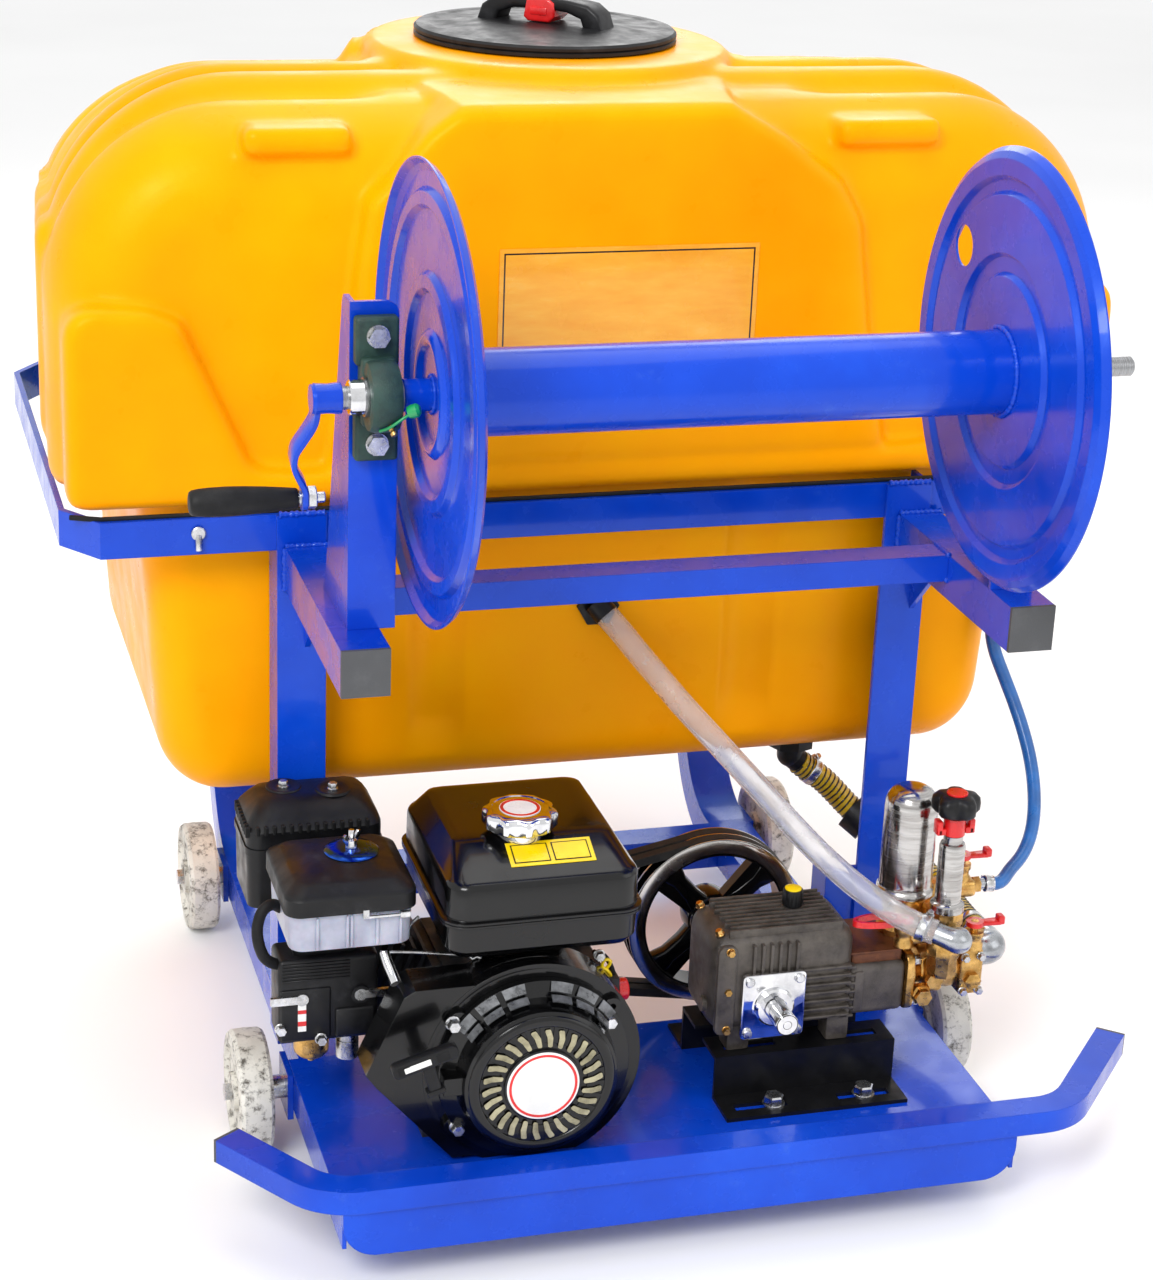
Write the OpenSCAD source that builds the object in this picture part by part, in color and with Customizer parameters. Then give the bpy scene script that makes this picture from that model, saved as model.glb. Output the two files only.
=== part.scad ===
// Wheeled sprayer cart: a plastic tank in a steel frame, with a hose reel, a petrol engine and a belt-driven
// plunger pump. Millimetres, +X to the right, +Y to the back, +Z up. The origin is on the ground,
// under the middle of the cart.

/* [Frame] */
// Height of the rails' underside above the ground
rail_z = 44; // [40:1:50]
// Rail tube width
rail_w = 50; // [45:1:55]
// Rail tube height
rail_h = 40; // [36:1:44]
// Distance from the middle to each rail's centre line
rail_x = 295; // [290:1:300]
// Outer radius of the rails' upward bend
rail_bend_r = 145; // [130:1:150]
// Back face of the rails' upright legs
rail_back_y = 580; // [575:1:585]
// Wall of the frame's square tubes
tube_wall = 3; // [2:0.5:4]
// Height of the posts' top edge
post_top_z = 654; // [650:1:658]
// Width of the posts' angle iron
post_w = 48; // [44:1:50]
// Thickness of the posts' angle iron
post_t = 5; // [4:1:6]
// Inner edge of each post
post_x = 287.5; // [285:0.5:290]

/* [Tray] */
// Floor plate thickness
tray_t = 4; // [3:1:5]
// Front face of the bumper tube
front_y = -334; // [-336:1:-330]
// Back edge of the tray
tray_back_y = -40; // [-44:1:-36]

/* [Wheels] */
// Wheel diameter
wheel_d = 125; // [124:1:126]
// Wheel width
wheel_w = 36; // [34:1:38]
// Diameter of the bolts that the wheels turn on
axle_d = 12; // [10:1:12]

/* [Tank] */
// Half width of the upper tank
tank_half_w = 545; // [540:1:548]
// Height of the tank's shoulder, above the neck's foot
tank_top_z = 1030; // [1025:1:1035]
// Back of the upper tank, behind the posts' front face
tank_back_y = 620; // [615:1:625]
// Tank wall
tank_wall = 6; // [5:0.5:8]
// Diameter of the filling neck's mouth
neck_bore_d = 240; // [230:1:246]
// Diameter of the lid
lid_d = 272; // [268:1:276]

/* [Hose reel] */
// Distance of the reel's axis in front of the posts
reel_y = -263.3; // [-264:0.1:-263]
// Height of the reel's axis
reel_z = 846; // [840:1:850]
// Shaft diameter
shaft_d = 20; // [19.9:0.1:20]
// Disc diameter
disc_d = 400; // [390:1:405]
// Drum tube diameter
drum_d = 76; // [70:1:80]

/* [Engine and pump] */
// Engine crankshaft, distance to the left of the middle
engine_x = -138; // [-140:1:-136]
// Height of the engine's crankshaft
engine_z = 184; // [183:1:185]
// Pump crankshaft, distance to the right of the middle
pump_x = 122; // [121:1:123]
// Height of the pump's crankshaft
pump_z = 190; // [189:1:191]
// Pitch radius of the engine pulley
engine_pulley_r = 45; // [44:1:46]
// Pitch radius of the pump pulley
pump_pulley_r = 93; // [92:1:94]

/* [Hidden] */

$fn = 48;
// The modules measure Y from the posts' front face, and this is where the middle of the cart lies
mid_y = (tank_back_y + reel_y - disc_d / 2) / 2;
floor_z = rail_z + rail_h + tray_t;
frame_blue = [0.13, 0.2, 0.66];
tank_orange = [1, 0.6, 0.02];
dark = [0.08, 0.08, 0.09];
steel = [0.75, 0.76, 0.78];
brass_tone = [0.72, 0.53, 0.24];
handle_red = [0.85, 0.1, 0.1];
gap = 0.3;
fit = 0.05;

module placed() translate([0, -mid_y, 0]) children();

module both_sides() {
  children();
  mirror([1, 0, 0]) children();
}

// A square tube along Y, from y = 0, centred on X and standing on z = 0
module tube_y(width, length, height, wall) {
  difference() {
    translate([-width / 2, 0, 0]) cube([width, length, height]);
    translate([-width / 2 + wall, -1, wall]) cube([width - 2 * wall, length + 2, height - 2 * wall]);
  }
}

// A square tube along X, from x = 0, from y = 0 and from z = 0
module tube_x(length, depth, height, wall) {
  difference() {
    cube([length, depth, height]);
    translate([-1, wall, wall]) cube([length + 2, depth - 2 * wall, height - 2 * wall]);
  }
}

// Turns a shape that was drawn along Z so that it runs along +X
module along_x() rotate([0, 90, 0]) children();

// Turns a shape that was drawn along Z so that it runs along +Y
module along_y() rotate([-90, 0, 0]) children();

// A box with rounded edges, from its low corner
module soft_box(size, r, fn = 16) {
  hull() for (x = [r, size[0] - r], y = [r, size[1] - r], z = [r, size[2] - r])
    translate([x, y, z]) sphere(r, $fn = fn);
}

// A plate with round corners in plan, drawn exactly
module round_plate(width, depth, height, r) {
  linear_extrude(height) {
    translate([r, 0]) square([width - 2 * r, depth]);
    translate([0, r]) square([width, depth - 2 * r]);
    for (x = [r, width - r], y = [r, depth - r]) translate([x, y]) circle(r);
  }
}

// ---- rails and base ----

// One bent rail, drawn inwards by inset and longer at its ends by spare
module rail_form(inset, spare) {
  w = rail_w - 2 * inset;
  h = rail_h - 2 * inset;
  bend_y = rail_back_y - rail_bend_r;
  translate([-w / 2, front_y + 30 - spare, rail_z + inset]) cube([w, bend_y - front_y - 30 + spare, h]);
  translate([0, bend_y, rail_z + rail_bend_r]) rotate([0, 90, 0]) rotate_extrude(angle = 90)
    translate([rail_bend_r - rail_h + inset, -w / 2]) square([h, w]);
  translate([-w / 2, rail_back_y - rail_h + inset, rail_z + rail_bend_r])
    cube([w, h, post_top_z - rail_z - rail_bend_r + spare]);
}

module rails() placed() color(frame_blue) both_sides() translate([rail_x, 0, 0]) difference() {
  rail_form(0, 0);
  rail_form(tube_wall, 5);
}

module rear_crosstube() placed() color(frame_blue)
  translate([-(rail_x - rail_w / 2), 390, rail_z]) tube_x(2 * rail_x - rail_w, 40, rail_h, tube_wall);

tray_left = -332;
tray_right = 340;
apron_y = front_y + 4;
apron_h = 48;

module apron_outline() intersection() {
  r = 34;
  w = tray_right - tray_left;
  union() {
    translate([0, r]) square([w, apron_h - r]);
    translate([r, 0]) square([w - 2 * r, apron_h]);
    for (x = [r, w - r]) translate([x, r]) circle(r);
  }
  square([w, apron_h]);
}

module tray() placed() color(frame_blue) {
  // floor
  translate([tray_left, apron_y, floor_z - tray_t])
    cube([tray_right - tray_left, tray_back_y - apron_y, tray_t]);
  // side flanges
  for (x = [tray_left, tray_right - tray_t])
    translate([x, apron_y + tray_t, floor_z - 40]) cube([tray_t, tray_back_y - apron_y - tray_t, 40 - tray_t]);
  // front apron with round lower corners
  translate([tray_left, apron_y + tray_t, floor_z - apron_h]) rotate([90, 0, 0])
    linear_extrude(tray_t) apron_outline();
}

bumper_d = 30;
bumper_h = 24;
bumper_bend = 60;
left_sweep = 56;
right_sweep = 49;
left_end = 100;
right_end = 133;
bumper_left = -314;
bumper_right = 368;

// One swept end of the bumper: bend, then straight, drawn to the right from the origin
module bumper_end(sweep, reach, inset, spare) {
  d = bumper_d - 2 * inset;
  h = bumper_h - 2 * inset;
  translate([0, bumper_bend, 0]) rotate([0, 0, -90]) rotate_extrude(angle = sweep)
    translate([bumper_bend - d / 2, inset]) square([d, h]);
  translate([0, bumper_bend, 0]) rotate([0, 0, sweep]) translate([0, -bumper_bend - d / 2, inset])
    cube([reach + spare, d, h]);
}

module bumper_form(inset, spare) {
  d = bumper_d - 2 * inset;
  h = bumper_h - 2 * inset;
  translate([bumper_left, -d / 2, inset]) cube([bumper_right - bumper_left, d, h]);
  translate([bumper_right, 0, 0]) bumper_end(right_sweep, right_end, inset, spare);
  translate([bumper_left, 0, 0]) mirror([1, 0, 0]) bumper_end(left_sweep, left_end, inset, spare);
}

module at_bumper() translate([0, front_y + bumper_d / 2, floor_z]) children();

module bumper() placed() color(frame_blue) at_bumper() difference() {
  bumper_form(0, 0);
  bumper_form(2.5, 5);
}

// Where a swept end of the bumper stops
module at_bumper_end(start, sweep, reach) translate([start, bumper_bend, 0]) rotate([0, 0, sweep])
  translate([reach, -bumper_bend, 0]) children();

module bumper_plug() translate([0, -bumper_d / 2, 0]) cube([3, bumper_d, bumper_h]);

arm_w = 44;
arm_z = 579;
arm_front_y = -277;
arm_left_x = -306;
arm_right_x = 324;

module tube_caps() placed() color([0.3, 0.3, 0.31]) {
  at_bumper() {
    at_bumper_end(bumper_right, right_sweep, right_end) bumper_plug();
    mirror([1, 0, 0]) at_bumper_end(-bumper_left, left_sweep, left_end) bumper_plug();
  }
  for (x = [arm_left_x, arm_right_x]) translate([x - arm_w / 2, arm_front_y - 4, arm_z]) {
    cube([arm_w, 4, arm_w]);
    translate([tube_wall + gap, 3, tube_wall + gap])
      cube([arm_w - 2 * tube_wall - 2 * gap, 20, arm_w - 2 * tube_wall - 2 * gap]);
  }
}

// ---- wheels ----

front_axle_y = -47;
rear_axle_y = 450;
plate_t = 6;
front_plate_left = -tray_left;
front_plate_right = tray_right;
rear_plate = rail_x + rail_w / 2;
front_wheel_x = 355;
rear_wheel_x = 333;
hub_z = wheel_d / 2;

module axle_plate(x, y, top) translate([x, y - 25, hub_z - 25]) difference() {
  cube([plate_t, 50, top - hub_z + 25]);
  translate([-1, 25, 25]) along_x() cylinder(d = axle_d + 0.4, h = plate_t + 2);
}

module axle_plates() placed() color(frame_blue) {
  axle_plate(front_plate_right, front_axle_y, floor_z);
  mirror([1, 0, 0]) axle_plate(front_plate_left, front_axle_y, floor_z);
  both_sides() axle_plate(rear_plate, rear_axle_y, rail_z + rail_h);
}

// Bolt from the plate through its spacer sleeve and the wheel, with its head outside
module axle_bolt(plate_x, wheel_x, y) translate([0, y, hub_z]) {
  head_x = wheel_x + wheel_w + gap;
  translate([plate_x, 0, 0]) along_x() cylinder(d = axle_d, h = head_x - plate_x + 1);
  translate([head_x, 0, 0]) along_x() cylinder(d = 19, h = 7, $fn = 6);
  translate([plate_x + plate_t, 0, 0]) along_x() cylinder(d = 24, h = wheel_x - gap - plate_x - plate_t);
}

module wheel_axles() placed() color(dark) {
  axle_bolt(front_plate_right, front_wheel_x, front_axle_y);
  mirror([1, 0, 0]) axle_bolt(front_plate_left, front_wheel_x, front_axle_y);
  both_sides() axle_bolt(rear_plate, rear_wheel_x, rear_axle_y);
}

module wheel(x, y) translate([x, y, hub_z]) along_x() difference() {
  r = wheel_d / 2;
  rotate_extrude($fn = 96) polygon([
    [0, 0], [20, 0], [20, 5], [r - 17, 5], [r - 14, 0.5], [r - 3, 1.5], [r - 0.6, 5], [r, wheel_w / 2],
    [r - 0.6, wheel_w - 5], [r - 3, wheel_w - 1.5], [r - 14, wheel_w - 0.5], [r - 17, wheel_w - 5],
    [20, wheel_w - 5], [20, wheel_w], [0, wheel_w]
  ]);
  translate([0, 0, -1]) cylinder(d = axle_d + 2 * fit, h = wheel_w + 2);
}

wheel_tone = [0.75, 0.74, 0.7];
module wheel_front_left() placed() color(wheel_tone) mirror([1, 0, 0]) wheel(front_wheel_x, front_axle_y);
module wheel_front_right() placed() color(wheel_tone) wheel(front_wheel_x, front_axle_y);
module wheel_rear_left() placed() color(wheel_tone) mirror([1, 0, 0]) wheel(rear_wheel_x, rear_axle_y);
module wheel_rear_right() placed() color(wheel_tone) wheel(rear_wheel_x, rear_axle_y);

// ---- posts, arms and waist band ----

band_z = 618;
band_h = post_top_z - band_z;
band_t = 6;
band_front_y = post_t;
band_half_w = 536;

// Plan outline of the band, drawn inwards by inset
module band_outline(inset) {
  w = band_half_w - inset;
  low = band_front_y + inset;
  high = rail_back_y + band_t - inset;
  cut = 34 - 0.4 * inset;
  polygon([
    [-w + cut, low], [w - cut, low], [w, low + 1.4 * cut], [w, high - 1.4 * cut],
    [w - cut, high], [-w + cut, high], [-w, high - 1.4 * cut], [-w, low + 1.4 * cut]
  ]);
}

module band_form() translate([0, 0, band_z]) linear_extrude(band_h) difference() {
  band_outline(0);
  band_outline(band_t);
}

module waist_band() placed() color(frame_blue) band_form();

// Angle iron with its second leg on the outer side, notched round the band
module post() difference() {
  translate([post_x, 0, rail_z + rail_h]) {
    cube([post_w, post_t, post_top_z - rail_z - rail_h]);
    translate([post_w - post_t, 0, 0]) cube([post_t, 45, post_top_z - rail_z - rail_h]);
    // foot stub beside the angle
    translate([-33, post_t, 31]) cube([38, 5, 110]);
    translate([-33, post_t, 31]) cube([5, 40, 110]);
  }
  band_form();
}

module posts() placed() color(frame_blue) both_sides() post();

// Reel arm with a triangular gusset under it
module reel_arm(x) translate([x, 0, 0]) {
  translate([0, arm_front_y, arm_z]) tube_y(arm_w, -arm_front_y, arm_w, tube_wall);
  translate([-2.5, 0, arm_z]) rotate([0, 90, 0]) linear_extrude(5) polygon([[0, 0], [60, 0], [0, -60]]);
}

module reel_arms() placed() color(frame_blue) {
  reel_arm(arm_left_x);
  reel_arm(arm_right_x);
}

module crossbeam() placed() color(frame_blue)
  translate([arm_left_x + arm_w / 2, -130, arm_z + 17])
    tube_x(arm_right_x - arm_left_x - arm_w, 35, arm_w - 17, tube_wall);

// ---- reel brackets and bearings ----

bracket_face_y = reel_y + 33.3;
bracket_w = 43;
bracket_t = 5;
bracket_top = 920;
bolt_pitch = 95;
bearing_w = 38;
bearing_left_x = -291.5;
bearing_right_x = 323.5;
arm_top = arm_z + arm_w;

// Folded plate: a front flange that carries the bearing, and a side web outside it
module reel_bracket(x) translate([x, bracket_face_y, 0]) difference() {
  union() {
    translate([-bracket_w / 2, bracket_t, arm_top]) rotate([90, 0, 0]) linear_extrude(bracket_t) {
      square([bracket_w, bracket_top - arm_top - 12]);
      translate([12, 0]) square([bracket_w - 12, bracket_top - arm_top]);
      translate([12, bracket_top - arm_top - 12]) circle(12);
    }
    translate([bracket_w / 2 - bracket_t, 0, 0]) rotate([90, 0, 90]) linear_extrude(bracket_t)
      polygon([[0, arm_top], [112, arm_top], [100, arm_top + 25], [34, bracket_top - 6], [28, bracket_top],
        [0, bracket_top]]);
  }
  for (side = [-1, 1]) translate([0, -1, reel_z + side * bolt_pitch / 2])
    along_y() cylinder(d = 11, h = bracket_t + 2);
}

module reel_brackets() placed() color(frame_blue) {
  mirror([1, 0, 0]) reel_bracket(-bearing_left_x);
  reel_bracket(bearing_right_x);
}

ring_r = 17;

// Pillow block on its side: the foot lies on the bracket, and the ring stands out to the front
module bearing_housing(x) translate([x, reel_y, reel_z]) difference() {
  union() {
    translate([-bearing_w / 2, 33.3 - 15, -127 / 2]) cube([bearing_w, 15, 127]);
    translate([-bearing_w / 2 + 5, 0, 0]) along_x() cylinder(r = 31, h = bearing_w - 10);
    translate([-bearing_w / 2 + 5, 0, -31]) cube([bearing_w - 10, 25, 62]);
  }
  translate([-bearing_w, 0, 0]) along_x() cylinder(r = ring_r + fit, h = 2 * bearing_w);
  for (side = [-1, 1]) translate([0, 0, side * bolt_pitch / 2]) along_y() cylinder(d = 13, h = 60);
}

module bearing_housings() placed() color([0.15, 0.25, 0.2]) {
  bearing_housing(bearing_left_x);
  bearing_housing(bearing_right_x);
}

// Hexagon bolt through the bearing's foot and the bracket, with a nut behind
module bearing_bolt(x, z) translate([x, bracket_face_y, z]) {
  translate([0, -15 - 2, 0]) along_y() cylinder(d = 20, h = 2);
  translate([0, -15 - 9, 0]) along_y() cylinder(d = 18.5, h = 7, $fn = 6);
  translate([0, -16, 0]) along_y() cylinder(d = 10, h = 34);
  translate([0, bracket_t, 0]) along_y() cylinder(d = 18.5, h = 8, $fn = 6);
}

module bearing_bolts() placed() color(steel)
  for (x = [bearing_left_x, bearing_right_x], side = [-1, 1]) bearing_bolt(x, reel_z + side * bolt_pitch / 2);

// ---- hose reel ----

shaft_left = -346;
shaft_right = 405;
// The shaft's free right end is turned down, for a second crank or a hose motor
journal_left = 353;
journal_d = 18;
chamfer = 2;
disc_left_x = -248;
disc_right_x = 277;
sheet_t = 2;

module on_reel(x) translate([x, reel_y, reel_z]) along_x() children();

module reel_shaft() placed() color(steel) {
  on_reel(shaft_left) cylinder(d = shaft_d, h = journal_left - shaft_left);
  on_reel(journal_left) cylinder(d = journal_d, h = shaft_right - chamfer - journal_left);
  on_reel(shaft_right - chamfer) cylinder(d1 = journal_d, d2 = journal_d - 2 * chamfer, h = chamfer);
  // bearing inner rings with their locking collars
  on_reel(bearing_left_x - 28) cylinder(r = 15, h = 12);
  on_reel(bearing_left_x - 16) cylinder(r = ring_r, h = 32);
  on_reel(bearing_right_x - 16) cylinder(r = ring_r, h = 32);
  on_reel(bearing_right_x + 16) cylinder(r = 15, h = 12);
}

module reel_drum() placed() color(frame_blue) on_reel(disc_left_x + sheet_t) difference() {
  cylinder(d = drum_d, h = disc_right_x - disc_left_x - 2 * sheet_t, $fn = 72);
  translate([0, 0, -1]) cylinder(d = drum_d - 6, h = disc_right_x - disc_left_x, $fn = 72);
}

// Pressed sheet disc. Its profile goes outwards from the shaft, and z is towards the outside of the reel
module disc_form() {
  r = disc_d / 2;
  rotate_extrude($fn = 96) polygon([
    [shaft_d / 2 + 0.1, 0], [86, 0], [90, 5], [101, 5], [105, 0], [156, 0], [160, 5], [171, 5], [175, 0],
    [r - 12, 0], [r - 6, 3], [r - 2, 9], [r, 9], [r, 7.5], [r - 4.5, 1.5], [r - 11, -sheet_t],
    [174, -sheet_t], [170, 3], [161, 3], [157, -sheet_t], [106, -sheet_t], [102, 3], [89, 3],
    [85, -sheet_t], [shaft_d / 2 + 0.1, -sheet_t]
  ]);
}

module disc_left() placed() color(frame_blue) on_reel(disc_left_x) mirror([0, 0, 1]) disc_form();

// Hole for the hose's inner end, as an angle round the shaft and a distance from it
hose_hole_r = 137;
hose_hole_angle = 48;
module disc_right() placed() color(frame_blue) on_reel(disc_right_x) difference() {
  disc_form();
  rotate([0, 0, 180 - hose_hole_angle]) translate([hose_hole_r, 0, -5]) cylinder(d = 38, h = 20);
}

// The crank hangs down from the shaft's left end, and leans to the back
crank_length = 105;
crank_lean = 20;
grip_bolt_r = 5;
module on_crank() translate([0, reel_y, reel_z]) rotate([crank_lean, 0, 0]) children();

module crank_arm() placed() on_crank() {
  color(frame_blue) difference() {
    union() {
      translate([shaft_left - 5, 0, 0]) along_x() cylinder(d = 27, h = 24);
      rotate([90, 0, 0]) translate([0, 0, -11]) linear_extrude(22) polygon([
        [-345, 0], [-345, -22], [-361, -52], [-361, -72], [-349, -90], [-349, -crank_length],
        [-354, -crank_length], [-354, -91.5], [-366, -73.5], [-366, -50.5], [-350, -20.5], [-350, 0]
      ]);
      translate([-354, 0, -crank_length]) along_x() cylinder(r = 11, h = 5);
    }
    translate([shaft_left, 0, 0]) along_x() cylinder(d = shaft_d + 0.1, h = 60);
    translate([-370, 0, -crank_length]) along_x() cylinder(r = grip_bolt_r + 0.2, h = 40);
  }
  // bolt that the grip turns on, with its nut
  color(steel) translate([0, 0, -crank_length]) {
    translate([-440, 0, 0]) along_x() cylinder(r = grip_bolt_r, h = 107);
    translate([-348.8, 0, 0]) along_x() cylinder(d = 18, h = 8, $fn = 6);
    translate([-356, 0, 0]) along_x() cylinder(d = 14, h = 1.8);
  }
}

module crank_grip() placed() color(dark) on_crank() translate([-451, 0, -crank_length]) along_x() difference() {
  rotate_extrude() polygon([
    [0, 0], [9, 0], [11, 2], [12.4, 14], [13, 31], [12.4, 52], [10.5, 76], [9, 88], [8.5, 94], [0, 94]
  ]);
  translate([0, 0, 8]) cylinder(r = grip_bolt_r + fit, h = 100);
}

// ---- tank ----

tank_front_y = 20;
low_half_w = 462;
low_front_y = 50;
low_back_y = 535;
low_z = 338;
shoulder_z = post_top_z + 1;
neck_y = 320;
neck_top_z = 1052;
neck_r = 180;
panel_x = 560;

// Rounded block between two corners, drawn inwards by inset, with corner radii per end
module tank_block(half_w, front, back, low, high, low_r, high_r, inset) {
  hull() for (x = [-1, 1], y = [0, 1]) {
    translate([x * (half_w - low_r), y ? back - low_r : front + low_r, low + low_r])
      sphere(low_r - inset, $fn = 24);
    translate([x * (half_w - high_r), y ? back - high_r : front + high_r, high - high_r])
      sphere(high_r - inset, $fn = 24);
  }
}

module tank_form(inset) {
  tank_block(tank_half_w, tank_front_y, tank_back_y, shoulder_z, tank_top_z, 24, 120, inset);
  tank_block(low_half_w, low_front_y, low_back_y, low_z, shoulder_z + 200, 60, 60, inset);
}

module tank() placed() color(tank_orange) difference() {
  union() {
    tank_form(0);
    // raised neck
    translate([0, neck_y, tank_top_z - 60]) cylinder(r1 = 215, r2 = neck_r, h = neck_top_z - tank_top_z + 60);
    // end panels
    for (x = [-panel_x, panel_x - 18]) translate([x, 150, 690]) cube([18, 340, 215]);
    // lugs on the front shoulder
    for (x = [-359, 232]) translate([x, 55, 975]) cube([105, 60, 45]);
  }
  tank_form(tank_wall);
  translate([0, neck_y, tank_top_z - 70]) cylinder(d = neck_bore_d, h = 200);
}

lid_handle_turn = 40;

// Screwed lid that stands on the neck, with a bridge handle and a latch
module tank_lid() placed() translate([0, neck_y, neck_top_z + gap]) {
  color(dark) {
    cylinder(d = lid_d, h = 12);
    translate([0, 0, 12]) cylinder(d1 = lid_d - 6, d2 = lid_d - 60, h = 6);
    rotate([0, 0, -lid_handle_turn]) difference() {
      translate([-70, -17, 14]) cube([140, 34, 24]);
      translate([-34, -30, 17]) cube([68, 60, 12]);
    }
  }
  color(handle_red) rotate([0, 0, -lid_handle_turn]) translate([-18, -12, 38]) cube([36, 24, 5]);
}

module label_plate() placed() color([0.95, 0.65, 0.1])
  translate([-119, tank_front_y - 1.2, 789]) cube([260, 1, 113]);

// ---- tank fittings and hoses ----

return_r = 12.5;
suction_r = 13.5;
bypass_r = 7;

// Routes of the three hoses, with y measured from the posts
return_route = [
  [6, 30, 520], [18, 19, 506], [34, 5, 486], [54, -10, 462], [77, -28, 435], [102, -48, 408], [126, -70, 382],
  [148, -94, 358], [170, -120, 334], [193, -148, 312], [218, -178, 293], [244, -204, 278], [264, -221, 270],
  [278, -232, 266]
];
suction_route = [
  [256, 112, 304], [268, 112, 294], [284, 110, 282], [298, 106, 268], [311, 99, 254], [324, 90, 242],
  [338, 74, 232], [350, 50, 224], [360, 22, 218], [367, -10, 213], [372, -44, 208], [374, -82, 204],
  [374, -118, 204]
];
bypass_route = [
  [432, 33, 480], [433, 32, 468], [437, 27, 450], [444, 16, 428], [451, 1, 404], [456, -16, 380],
  [458, -35, 356], [456, -55, 332], [450, -74, 310], [440, -91, 292], [426, -105, 278], [409, -116, 268],
  [393, -127, 260], [376, -127, 260]
];

// Sets its children on point i of a route, with +Z along the route
module on_route(route, i) {
  ahead = route[min(i + 1, len(route) - 1)] - route[max(i - 1, 0)];
  translate(route[i]) rotate([0, acos(ahead[2] / norm(ahead)), atan2(ahead[1], ahead[0])]) children();
}

// A closed tube that follows a list of points, with one ring at each point
module swept_tube(route, r, sides = 10) {
  n = len(route);
  rings = [for (i = [0 : n - 1])
    let (
      ahead = route[min(i + 1, n - 1)] - route[max(i - 1, 0)],
      along = ahead / norm(ahead),
      across = cross(along, [0, 0, 1]) / norm(cross(along, [0, 0, 1])),
      up = cross(across, along)
    )
    for (k = [0 : sides - 1]) route[i] + r * (cos(360 * k / sides) * across + sin(360 * k / sides) * up)
  ];
  walls = [for (i = [0 : n - 2], k = [0 : sides - 1])
    let (a = i * sides + k, b = i * sides + (k + 1) % sides) [a, b, b + sides, a + sides]
  ];
  first = [for (k = [sides - 1 : -1 : 0]) k];
  last = [for (k = [0 : sides - 1]) (n - 1) * sides + k];
  polyhedron(rings, concat(walls, [first, last]));
}

module return_hose() placed() color([0.85, 0.85, 0.88]) swept_tube(return_route, return_r);
module suction_hose() placed() color([0.85, 0.7, 0.1]) swept_tube(suction_route, suction_r);
module bypass_hose() placed() color([0.1, 0.4, 0.75]) swept_tube(bypass_route, bypass_r);

sump_x = 245;
sump_y = 112;
side_port = [432, 494];

// Black outlets of the tank: front return port, sump elbow underneath and side port for the bypass
module tank_fittings() placed() color(dark) {
  // return port, on the tank's front below the band
  translate([0, low_front_y, 526]) rotate([90, 0, 0]) cylinder(d = 44, h = 9, $fn = 6);
  on_route(return_route, 0) translate([0, 0, -17 - gap]) cylinder(d = 26, h = 17);
  // sump outlet and its tail
  translate([sump_x, sump_y, low_z - 12]) cylinder(d = 52, h = 12, $fn = 8);
  translate([sump_x, sump_y, low_z - 24]) cylinder(d = 28, h = 14);
  translate([sump_x, sump_y, low_z - 24]) sphere(14);
  on_route(suction_route, 0) translate([0, 0, -16 - gap]) cylinder(d = 25, h = 16);
  // side port
  translate([side_port[0], low_front_y, side_port[1]]) rotate([90, 0, 0]) cylinder(d = 34, h = 8, $fn = 6);
  translate([side_port[0], low_front_y - 7, side_port[1]]) rotate([90, 0, 0]) cylinder(d = 24, h = 12);
  on_route(bypass_route, 0) translate([0, 0, -22 - gap]) cylinder(d = 14, h = 22);
  // strainer cuff on the suction line, behind the right post
  on_route(suction_route, 5) translate([0, 0, -12]) difference() {
    cylinder(d = 44, h = 24);
    translate([0, 0, -1]) cylinder(d = 33, h = 26);
  }
}

// Worm-drive clamp: a band with its screw housing, round a hose of radius r
module clamp(r) {
  difference() {
    cylinder(r = r + 3.2, h = 9);
    translate([0, 0, -1]) cylinder(r = r + 1.8, h = 11);
  }
  translate([r + 2, -6, 0.5]) cube([6, 12, 8]);
}

module hose_clamps() placed() color(steel) {
  on_route(suction_route, 1) clamp(suction_r);
  on_route(return_route, 12) clamp(return_r);
  on_route(bypass_route, 13) translate([0, 0, -11]) clamp(bypass_r);
}

// ---- engine ----

pulley_y = -22;
pulley_w = 32;
fan_face_y = -262;
switch_at = [-50, -202, 222];

module at_engine(y) translate([engine_x, y, engine_z]) children();

// Crankcase on its feet, finned cylinder leaning to the left, and the shaft seal at the back
module engine_block() placed() color([0.2, 0.2, 0.21]) difference() {
  union() {
    for (y = [-214, -98]) translate([-232, y, floor_z]) cube([188, 34, 10]);
    translate([-214, -214, floor_z + 8]) cube([150, 150, 150]);
    translate([engine_x, -64, engine_z]) along_y() cylinder(r = 46, h = 14);
    // cylinder barrel with its fins
    translate([-205, -108, 205]) rotate([0, -68, 0]) {
      cylinder(r = 34, h = 110);
      for (i = [0 : 6]) translate([-40, -38, 26 + 12 * i]) cube([80, 76, 4]);
    }
    // plate that carries the fuel tank
    translate([-205, -214, 245]) cube([150, 144, 5]);
    for (x = [-196, -78]) translate([x, -160, 249]) cube([14, 60, 50.7]);
    // stop switch box on the right
    translate([-66, -214, 206]) cube([26, 26, 34]);
  }
  translate([engine_x, -90, engine_z]) along_y() cylinder(r = 12.5 + fit, h = 60);
  translate(switch_at) along_x() cylinder(r = 4 + fit, h = 20);
  for (x = [-222, -60], y = [-197, -81]) translate([x, y, floor_z - 1]) cylinder(d = 10, h = 20);
}

// Outline of the blower housing: round on the right, and reaching to the cylinder on the left
module fan_outline(inset) {
  translate([engine_x, engine_z]) circle(r = 106 - inset, $fn = 96);
  polygon([
    [engine_x, engine_z + 90 - inset], [-252, 274 - inset], [-263 + inset, 268 - inset],
    [-298 + inset, 190], [-288 + inset, 176 + inset], [-214 + inset, 92 + inset], [engine_x, 92 + inset]
  ]);
}

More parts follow.
